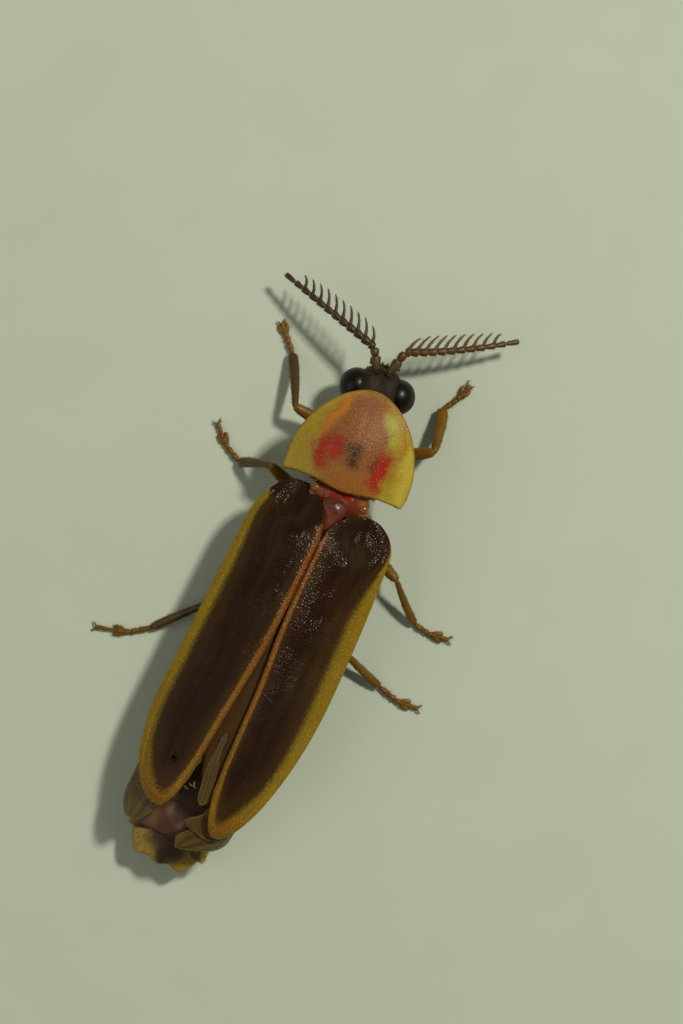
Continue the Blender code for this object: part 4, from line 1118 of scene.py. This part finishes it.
def pronotum_place():
    """Frame of the fore body: turned a little to the insect's left about its hind edge."""
    return Matrix.Translation((PRONOTUM_HIND[0], PRONOTUM_HIND[1], 0.0)) @ Matrix.Rotation(
        PRONOTUM_TURN, 4, "Z")


def pronotum_half_width(ahead):
    """Half width of the shield at a distance ahead of its hind edge."""
    past = (ahead - PRONOTUM_WIDEST) / (PRONOTUM_LENGTH - PRONOTUM_WIDEST)
    if past <= 0.0:
        return PRONOTUM_HALF_WIDTH
    return PRONOTUM_HALF_WIDTH * max(0.0, 1.0 - past ** 1.75) ** 0.55


def pronotum_notch(aside):
    """How far the hind edge is drawn forward beside the middle, and back at its corners."""
    notch = PRONOTUM_NOTCH * smooth(min(abs(aside), PRONOTUM_NOTCH_AT) / PRONOTUM_NOTCH_AT)
    return notch - 0.05 * smooth((abs(aside) - 1.45) / 0.35)


def pronotum_row(share):
    """Distance ahead and half width of a row of the shield."""
    ahead = min(0.998, math.sin(0.5 * math.pi * share)) * PRONOTUM_LENGTH
    return ahead, pronotum_half_width(ahead)


def pronotum():
    """The shield: domed, with a turned-up rim and a faint middle groove."""
    columns, rows = 36, 30

    def column_shift(across):
        rise = 1.0 - abs(across) ** 1.8 - 0.035 * math.exp(-(across / 0.06) ** 2)
        rise += 0.05 * smooth((abs(across) - 0.88) / 0.12)
        return -pronotum_notch(across * PRONOTUM_HALF_WIDTH), rise

    def row_place(share):
        ahead, width = pronotum_row(share)
        lengthwise = 1.0 - 0.22 * max(0.0, 1.0 - ahead / 0.9) ** 2
        lengthwise *= 1.0 - max(0.0, (ahead - 0.9) / (PRONOTUM_LENGTH - 0.9)) ** 2.2 * 0.92
        narrow = (width / PRONOTUM_HALF_WIDTH) ** 1.8
        lift = PRONOTUM_RIM + PRONOTUM_FRONT_LIFT * smooth(ahead / PRONOTUM_LENGTH)
        fall = PRONOTUM_DOME * lengthwise
        share_back = (1.0 - ahead / PRONOTUM_LENGTH) ** 2
        return (width, share_back, fall * narrow), (0.0, -ahead, lift + fall * (1.0 - narrow))

    piece = hammer_sheet("pronotum", columns, rows, column_shift, row_place)
    push(piece, (lambda place: place.x < -PRONOTUM_HALF_WIDTH + 0.12 and place.y > -0.30,
                 (0.05, -0.03, 0.0)))
    shell(piece, PRONOTUM_SHELL, 2)
    outline = []
    for step in range(61):
        ahead, width = pronotum_row(step / 60.0)
        notch = pronotum_notch(width) * (1.0 - ahead / PRONOTUM_LENGTH) ** 2
        outline.append((width, -ahead - notch))
    outline += [(-x, y) for x, y in reversed(outline)]
    for step in range(1, 24):
        aside = PRONOTUM_HALF_WIDTH * (-1.0 + 2.0 * step / 24.0) * 0.93
        outline.append((aside, -pronotum_notch(aside)))
    places = edge_distance(piece, outline)
    note(piece, "aside_mm", places[:, 0])
    note(piece, "ahead_mm", -places[:, 1])
    set_lie(piece)
    furred(piece, "shield", SHIELD, ("pronotum",), "pronotum_hairs", (*HAIRS["shield"], 21),
           HAIR_GOLD, pronotum_place())


# Plates between the shield and the wing cases

def mid_plates():
    """The glossy red plate with its two side knobs, and the tongue-shaped plate behind it."""
    middle, crown = 0.03, 2.25
    profile = [(-1.62, 0.50, 0.10, middle, 2.14), (-1.52, 0.72, 0.18, middle, 2.20),
               (-1.38, 0.84, 0.24, middle, 2.25), (-1.22, 0.86, 0.26, middle, 2.27),
               (-1.06, 0.84, 0.22, middle, 2.25), (-0.90, 0.78, 0.16, middle, 2.20),
               (-0.72, 0.64, 0.10, middle, 2.16)]
    plate = draw_out("mesonotum", profile, 32)
    for near, far, front, rise in MESONOTUM_RELIEF:
        push(plate, (lambda place: near <= abs(place.x - middle) < far and place.z > crown
                     and place.y > front, (0.0, 0.0, rise)))
    soften(plate, 2)
    note_places(plate)
    settle(plate, "mid_plate", MID_PLATE, "mesonotum")
    knobs = []
    for x, y in ((0.76, -1.18), (-0.68, -1.20)):
        for aside, back, up, size in ((0.0, 0.0, 0.0, 0.15), (0.03, 0.15, -0.04, 0.10)):
            knob = primitive("hinge", bpy.ops.mesh.primitive_uv_sphere_add, segments=24, ring_count=14,
                             radius=size, location=(x + math.copysign(aside, x), y + back, 2.30 + up))
            bpy.ops.object.shade_smooth()
            knobs.append(knob)
    settle(join("wing_hinges", knobs), "mid_plate", KNOB)
    tongue_profile = [(-1.14, 0.34, 0.14, 0.08, 2.40), (-1.02, 0.37, 0.18, 0.07, 2.44),
                      (-0.86, 0.37, 0.19, 0.06, 2.47), (-0.70, 0.32, 0.17, 0.04, 2.48),
                      (-0.56, 0.29, 0.14, 0.02, 2.48), (-0.44, 0.25, 0.11, 0.0, 2.48),
                      (-0.34, 0.20, 0.08, -0.01, 2.47), (-0.25, 0.15, 0.05, -0.02, 2.47),
                      (-0.20, 0.07, 0.03, -0.02, 2.47)]
    tongue = soften(draw_out("scutellum", tongue_profile, 20), 2)
    note_places(tongue)
    settle(tongue, "mid_plate", TONGUE, "scutellum")


# Head

def head_place():
    """Frame of the head: +X to the insect's left, -Y ahead."""
    return Matrix.Translation(HEAD_CENTRE) @ Matrix.Rotation(HEAD_TURN, 4, "Z")


def head():
    """The head capsule with brow, feeler sockets, face, lip and jaws."""
    stations = [(-0.70, 0.24, 0.14, 0.0, -0.10), (-0.64, 0.42, 0.28, 0.0, -0.06),
                (-0.52, 0.52, 0.40), (-0.34, 0.58, 0.48, 0.0, 0.02),
                (-0.10, 0.64, 0.51, 0.0, 0.02), (0.18, 0.66, 0.50, 0.0, 0.02),
                (0.42, 0.62, 0.46, 0.0, 0.02), (0.62, 0.50, 0.38),
                (0.76, 0.34, 0.28, 0.0, -0.02)]
    capsule = draw_out("head", stations, 24, power=2.7)
    push(capsule,
         (lambda place: abs(place.x) < 0.20 and place.z > 0.2 and place.y < -0.2, (0.0, 0.03, -0.07)),
         (lambda place: abs(place.x) < 0.12 and place.z > 0.3 and place.y < 0.3, (0.0, 0.0, -0.04)),
         (lambda place: abs(place.x) < 0.30 and place.z < -0.25 and place.y < -0.3, (0.0, -0.05, -0.04)))
    soften(capsule, 2)
    parts = [capsule]
    for side in (-1.0, 1.0):
        socket = primitive("socket", bpy.ops.mesh.primitive_torus_add, major_radius=0.105,
                           minor_radius=0.035, major_segments=24, minor_segments=10,
                           location=(side * ANTENNA_SPREAD, -0.57, 0.24),
                           rotation=(math.radians(62.0), 0.0, math.radians(18.0 * side)))
        bpy.ops.object.shade_smooth()
        parts.append(socket)
        jaw = [(0.0, 0.07, 0.05), (0.4, 0.06, 0.045, 0.05 * side), (0.75, 0.04, 0.03, 0.03 * side),
               (1.0, 0.012, 0.012, -0.04 * side)]
        parts.append(article("jaw", jaw, (side * 0.16, -0.60, -0.28), (side * 0.05, -0.86, -0.38), 10))
    lip = [(-0.80, 0.12, 0.035, 0.0, -0.24), (-0.76, 0.19, 0.05, 0.0, -0.22),
           (-0.66, 0.24, 0.07, 0.0, -0.17), (-0.54, 0.26, 0.09, 0.0, -0.12)]
    parts.append(soften(draw_out("lip", lip, 16), 1))
    capsule = join("head", parts)
    unwrap(capsule)
    set_lie(capsule, (0.0, -1.0, 0.0))
    furred(capsule, "head_cuticle", HEAD_CUTICLE, ("head",), "head_hairs", (*HAIRS["head"], 31),
           HAIR_DARK, head_place(), wander=0.6)


def eye(side):
    """A big bulging eye, cut flat where it meets the head."""
    sign = SIDES[side]
    ball = primitive("eye_" + side, bpy.ops.mesh.primitive_uv_sphere_add, segments=64, ring_count=40,
                     radius=EYE_RADIUS, rotation=(0.0, math.pi / 2.0, 0.0))
    bpy.ops.object.mode_set(mode="EDIT")
    bpy.ops.mesh.select_all(action="SELECT")
    bpy.ops.transform.resize(value=(0.94, 1.0, 1.02))
    bpy.ops.mesh.bisect(plane_co=(-sign * 0.30, 0.0, 0.0), plane_no=(-sign, 0.0, 0.0),
                        use_fill=True, clear_outer=True)
    bpy.ops.object.mode_set(mode="OBJECT")
    bpy.ops.object.shade_smooth_by_angle(angle=math.radians(40.0))
    apply_place(ball, head_place() @ Matrix.Translation((sign * EYE_ASIDE, -0.03, EYE_LEVEL)))
    settle(ball, "eye", EYE, "eye_" + side)


def neck():
    """Ringed neck skin between the head and the fore body."""
    start = head_place() @ Vector((0.0, 0.60, -0.04))
    end = pronotum_place() @ Vector((0.02, -1.90, THORAX_LEVEL - 0.03))
    rows = []
    for step in range(13):
        share = step / 12.0
        size = 0.36 + 0.025 * math.cos(share * math.pi * 6.0)
        rows.append((share, size, size * 0.9))
    settle(article("neck", rows, start, end, 20), "head_cuticle", TRUNK, "neck")


def palps():
    """Four jointed jaw feelers with broad end joints, and two small lip feelers."""
    slim = [(share, wide * 0.6, high * 0.6) for share, wide, high in PALP_JOINT]
    for side, sign in SIDES.items():
        base, second, third, end, lip_base, lip_middle, lip_end = (
            head_place() @ Vector((sign * x, y, z)) for x, y, z in (
                (0.16, -0.48, -0.42), (0.23, -0.62, -0.54), (0.30, -0.74, -0.54), (0.36, -0.84, -0.44),
                (0.08, -0.52, -0.46), (0.12, -0.62, -0.56), (0.18, -0.76, -0.58)))
        parts = [article("palp", PALP_JOINT, base, second, 10),
                 article("palp", PALP_JOINT, second, third, 10),
                 article("palp", PALP_END, third, end),
                 article("lip_palp", slim, lip_base, lip_middle, 8),
                 article("lip_palp", slim, lip_middle, lip_end, 8)]
        settle(join("palp_" + side, parts), "feeler", FEELER, "palp_" + side)


# Feelers

def antenna(side):
    """Thirteen joints: a stout base, a small ring, ten with a branch each, and a long end."""
    controls = ANTENNA_CURVE[side]
    root = head_place() @ Vector((SIDES[side] * ANTENNA_SPREAD, -0.55, 0.24))
    base_end = Vector(controls[0])
    knee = root.lerp(base_end, 0.62)
    scape = join("scape_" + side, [
        article("scape", SCAPE, root, knee, 14),
        article("pedicel", PEDICEL, knee - (knee - root) * 0.03, base_end)])
    unwrap(scape)
    furred(scape, "feeler", FEELER, ("scape_" + side,), "scape_hairs_" + side,
           (*HAIRS["scape"], 41), HAIR_AMBER)
    length = (Vector(controls[2]) - base_end).length
    unit_joint = article("joint", COMB_JOINT, (0.0, 0.0, 0.0), (0.0, 1.0, 0.0))
    unit_branch = article("branch", COMB_BRANCH, (0.0, 0.0, 0.0), (0.0, 1.0, 0.0), 8)
    note(unit_branch, "tip", [point.co.y for point in unit_branch.data.vertices])
    parts, skins = [], []
    for number in range(COMB_COUNT + 2):
        last = number > COMB_COUNT
        start_share = max(0.0, (COMB_START + COMB_PITCH * (number - 1))) / length
        end_share = 1.0 if last else (COMB_START + COMB_PITCH * number) / length
        start, end = along_curve(controls, start_share), along_curve(controls, end_share)
        ahead = (end - start).normalized()
        slim = 0.60 if last else 1.0 - 0.38 * number / (COMB_COUNT + 1)
        size = Matrix.Diagonal((slim, (end - start).length * 0.965, slim, 1.0))
        parts.append(copy_of(unit_joint, "joint", Matrix.Translation(start) @ facing(ahead) @ size))
        if number > 0:
            ring = [(share, wide * slim, high * slim) for share, wide, high in COMB_SKIN]
            skins.append(article("ring", ring, start - ahead * 0.035, start + ahead * 0.035, 10))
    for number, share in enumerate(COMB_LENGTHS):
        at = (COMB_START + COMB_PITCH * number) / length
        stem_at = along_curve(controls, at)
        stem = (along_curve(controls, at + 0.02) - stem_at).normalized()
        forward = Matrix.Rotation(ANTENNA_LEAN[side], 3, "Z") @ stem
        bend = Matrix.Diagonal((-SIDES[side], COMB_LENGTH * share, 1.0, 1.0))
        place = Matrix.Translation(stem_at - stem * 0.045) @ facing(forward) @ bend
        parts.append(copy_of(unit_branch, "branch", place))
    for spare in (unit_joint, unit_branch):
        bpy.data.objects.remove(spare, do_unlink=True)
    comb = join("antenna_" + side, parts)
    tidy_normals(comb)
    unwrap(comb)
    furred(comb, "feeler", COMB[side], ("antenna_" + side,), "antenna_hairs_" + side,
           (*HAIRS["comb"], 43), HAIR_AMBER)
    settle(join("antenna_skins_" + side, skins), "feeler", FEELER_PALE)


# Trunk and abdomen

def prothorax():
    """The fore body under the shield."""
    stations = []
    for ahead, wide, high in ((0.06, 0.86, 0.40), (0.14, 0.98, 0.47), (0.35, 1.06, 0.52), (0.9, 1.10, 0.54),
                              (1.4, 1.02, 0.54), (1.75, 0.86, 0.48), (1.96, 0.62, 0.38)):
        stations.append((-ahead, wide, high, 0.0, THORAX_LEVEL))
    piece = draw_out("prothorax", stations, 28, power=2.4)
    soften(piece, 2)
    apply_place(piece, pronotum_place())
    unwrap(piece)
    set_lie(piece)
    furred(piece, "trunk_cuticle", BELLY, ("prothorax",), "prothorax_hairs",
           (*HAIRS["fore_body"], 51), HAIR_AMBER)


def thorax():
    """The hind trunk: two broad breast plates with a seam between them."""
    stations = []
    for y, wide, high in ((-1.20, 0.82, 0.36), (-1.12, 0.96, 0.44), (-0.95, 1.12, 0.48), (-0.60, 1.30, 0.51),
                          (-0.18, 1.44, 0.52), (-0.10, 1.40, 0.50), (-0.02, 1.45, 0.525), (0.6, 1.50, 0.53),
                          (1.3, 1.48, 0.53), (1.8, 1.42, 0.51), (2.02, 1.34, 0.48), (2.13, 1.24, 0.44)):
        stations.append((y, wide, high, 0.0, THORAX_LEVEL))
    piece = draw_out("thorax", stations, 32, power=2.4)
    push(piece, (lambda place: abs(place.x) < 0.12 and place.z < 1.1, (0.0, 0.0, 0.05)))
    soften(piece, 2)
    unwrap(piece)
    set_lie(piece)
    furred(piece, "trunk_cuticle", BELLY, ("thorax",), "thorax_hairs", (*HAIRS["thorax"], 52),
           HAIR_AMBER, keep=lambda root, normal: normal[:, 2] < 0.3)


def abdomen_section(y):
    """Middle, half width and half height of the abdomen at a place along it."""
    share = (y - ABDOMEN_START) / (ABDOMEN_END - ABDOMEN_START)
    middle = ABDOMEN_BEND * share ** 2
    half_width = 1.42 + 0.26 * math.sin(math.pi * min(1.0, share * 1.15)) - 0.30 * share ** 4
    level = 1.34 - 0.12 * share - 0.30 * share ** 3
    half_height = 0.46 - 0.10 * share ** 3
    return middle, half_width, level, half_height


def abdomen():
    """Seven rings whose hind edges lap over the next."""
    length = (ABDOMEN_END - ABDOMEN_START) / ABDOMEN_RINGS
    for number in range(ABDOMEN_RINGS):
        start = ABDOMEN_START + 0.02 + length * number
        stations = []
        for share, flare in ((0.0, 0.86), (0.06, 0.90), (0.3, 0.94), (0.7, 0.98), (0.98, 1.01), (1.08, 1.0),
                             (1.09, 0.93)):
            y = start + length * share
            middle, wide, level, high = abdomen_section(y)
            stations.append((y, wide * flare, high * flare * 0.96, middle, level - 0.02))
        name = "abdomen_%d" % (number + 1)
        piece = draw_out(name, stations, 32, power=2.5)
        edge = start + length * 0.9
        for side in (-1.0, 1.0):
            back = 0.30 if number == ABDOMEN_RINGS - 1 and side < 0.0 else 0.14
            push(piece, (lambda place: place.y > edge and (place.x - middle) * side > wide * 0.86,
                         (0.08 * side, back, 0.0)))
        soften(piece, 2)
        unwrap(piece)
        note_places(piece)
        set_lie(piece)
        finish, lowest = RING_FINISH.get(number + 1, (TRUNK, -2.0))
        furred(piece, "trunk_cuticle", finish, (name,), "abdomen_hairs_%d" % (number + 1),
               (*HAIRS["abdomen"], 60 + number), HAIR_AMBER,
               keep=lambda root, normal: normal[:, 2] > lowest)


def tail():
    """The last plate: low, drooping and three-lobed, dark in the middle and amber at the rim."""
    columns, rows = 30, 14
    _, _, level, _ = abdomen_section(ABDOMEN_END)
    centre = 0.235

    def column_shift(across):
        lobes = 0.055 * math.cos(2.0 * math.pi * across / 0.68) - 0.34 * abs(across) ** 6
        return lobes, -0.26 * abs(across) ** 2.4

    def row_place(share):
        width = 0.84 + 0.24 * smooth(share * 2.2) - 0.10 * share ** 2
        rise = level + 0.26 - 0.20 * share
        return (width, share ** 1.5, 1.0 - 0.35 * share), (centre, 9.06 + 0.98 * share, rise)

    piece = hammer_sheet("pygidium", columns, rows, column_shift, row_place)
    shell(piece, 0.16, 1)
    note_places(piece)
    set_lie(piece)
    furred(piece, "tail_plate", TAIL, ("pygidium",), "pygidium_hairs", (*HAIRS["tail"], 71),
           HAIR_AMBER)


# Legs

def leg(name, hip, trochanter, knee, ankle, middle, toe):
    """One leg: hip, small ring, thigh, shin, five foot joints and two claws."""
    seed = 80 + sorted(LEGS).index(name) * 3
    hip = Vector((*hip, COXA_TOP + 0.16))
    trochanter, knee = Vector(trochanter), Vector(knee)
    ankle, middle, toe = Vector((*ankle, 0.17)), Vector((*middle, 0.095)), Vector((*toe, 0.10))
    plate_start = Vector((hip.x * 0.16, hip.y - 0.04, HIP_PLATE_LEVEL))
    plate_end = Vector((hip.x * 2.1, hip.y + 0.10, HIP_PLATE_LEVEL + 0.10))
    parts = [article("hip", HIP, hip, trochanter, 14),
             article("hip_plate", HIP_PLATE, plate_start, plate_end, 14),
             article("thigh", THIGH, trochanter - (knee - trochanter) * 0.04, knee, 16)]
    foot_parts = foot(ankle, middle, toe)
    limb = join("leg_" + name, parts)
    unwrap(limb)
    furred(limb, "leg_cuticle", LEG, ("coxa_" + name, "femur_" + name), "leg_hairs_" + name,
           (*HAIRS["leg"], seed), HAIR_AMBER)
    bulk = SHIN_BULK.get(name, 1.0)
    profile = [(share, wide * bulk, high * bulk, *shifts) for share, wide, high, *shifts in SHIN]
    shin = article("shin_" + name, profile, knee, ankle, 14)
    unwrap(shin)
    furred(shin, "leg_cuticle", LEG_DARK_AND_SHADED if name in DARK_AND_SHADED_SHINS else LEG, ("tibia_" + name,),
           "shin_hairs_" + name, (*HAIRS["shin"], seed + 2), HAIR_AMBER)
    foot_piece = join("foot_" + name, foot_parts)
    unwrap(foot_piece)
    furred(foot_piece, "leg_cuticle", LEG, ("tarsus_" + name,), "foot_hairs_" + name,
           (*HAIRS["foot"], seed + 1), HAIR_AMBER,
           keep=lambda root, normal: root[:, 2] > 0.03)


def foot(ankle, middle, toe):
    """Five joints: three short wedges, a two-lobed one and a slim one with two hooked claws."""
    start = ankle + (middle - ankle).normalized() * 0.02
    start.z = 0.12
    first, second = start.lerp(middle, 0.52), start.lerp(middle, 0.86)
    third, fourth = middle.lerp(toe, 0.12), middle.lerp(toe, 0.34)
    parts = [article("wedge", FOOT_JOINT, begin - (end - begin) * 0.05, end)
             for begin, end in ((start, first), (first, second), (second, third))]
    ahead = (toe - middle).normalized()
    aside = Vector((-ahead.y, ahead.x, 0.0))
    parts.append(article("cup", FOOT_JOINT, third - ahead * 0.02, fourth))
    for side in (-1.0, 1.0):
        begin = third + aside * side * 0.045 - UP * 0.01
        parts.append(article("lobe", LOBE, begin, begin + ahead * 0.30 + aside * side * 0.07))
        root = toe + aside * side * 0.03 - ahead * 0.02 + UP * 0.01
        hooked = [(share, wide, high, x * -side, z) for share, wide, high, x, z in CLAW]
        parts.append(article("claw", hooked, root, root + ahead * 0.11 + aside * side * 0.11 - UP * 0.05, 8))
    parts.append(article("claw_joint", CLAW_JOINT, fourth - ahead * 0.10 + UP * 0.02, toe))
    return parts


# Floor, light and camera

def stage_and_light():
    """A plain pale floor, one broad light from the picture's right, and a soft sky."""
    floor = primitive("floor", bpy.ops.mesh.primitive_plane_add, size=1.0)
    floor.data.materials.append(CARD)
    right = Vector((-math.cos(BODY_SLANT), -math.sin(BODY_SLANT), 0.0))
    up = Vector((math.sin(BODY_SLANT), -math.cos(BODY_SLANT), 0.0))
    for name, (across, upward, above, size, power) in LIGHTS.items():
        place = right * across + up * upward + UP * above
        data = bpy.data.lights.new(name, "AREA")
        data.energy = power
        data.size = size
        data.color = paint("#fff4e0")[:3]
        light = bpy.data.objects.new(name, data)
        light.location = place
        light.rotation_euler = (-place).to_track_quat("-Z", "Y").to_euler()
        bpy.context.scene.collection.objects.link(light)
    world = bpy.data.worlds.new("soft_sky")
    world.use_nodes = True
    sky = world.node_tree.nodes["Background"]
    sky.inputs["Color"].default_value = paint("#e4dfcc")
    sky.inputs["Strength"].default_value = 0.20
    bpy.context.scene.world = world
    bpy.context.scene.view_settings.view_transform = "Standard"


def camera():
    """Look straight down, turned as in the photograph."""
    data = bpy.data.cameras.new("camera")
    data.sensor_width = SENSOR
    data.lens = SENSOR * CAMERA_HEIGHT / PHOTO_HEIGHT
    data.clip_start = 0.01
    data.clip_end = 2.0
    eye_point = bpy.data.objects.new("camera", data)
    eye_point.location = ORIGIN + Vector((*PHOTO_CENTRE, CAMERA_HEIGHT + 1.5)) * METRE_PER_MM
    eye_point.rotation_euler = (0.0, 0.0, math.pi + BODY_SLANT)
    bpy.context.scene.collection.objects.link(eye_point)
    bpy.context.scene.camera = eye_point


camera()
stage_and_light()
head()
neck()
palps()
pronotum()
mid_plates()
prothorax()
thorax()
abdomen()
tail()
for body_side in ("left", "right"):
    eye(body_side)
    antenna(body_side)
    hind_wing(body_side)
    elytron(body_side)
wing_folds()
for leg_name, leg_places in LEGS.items():
    leg(leg_name, *leg_places)
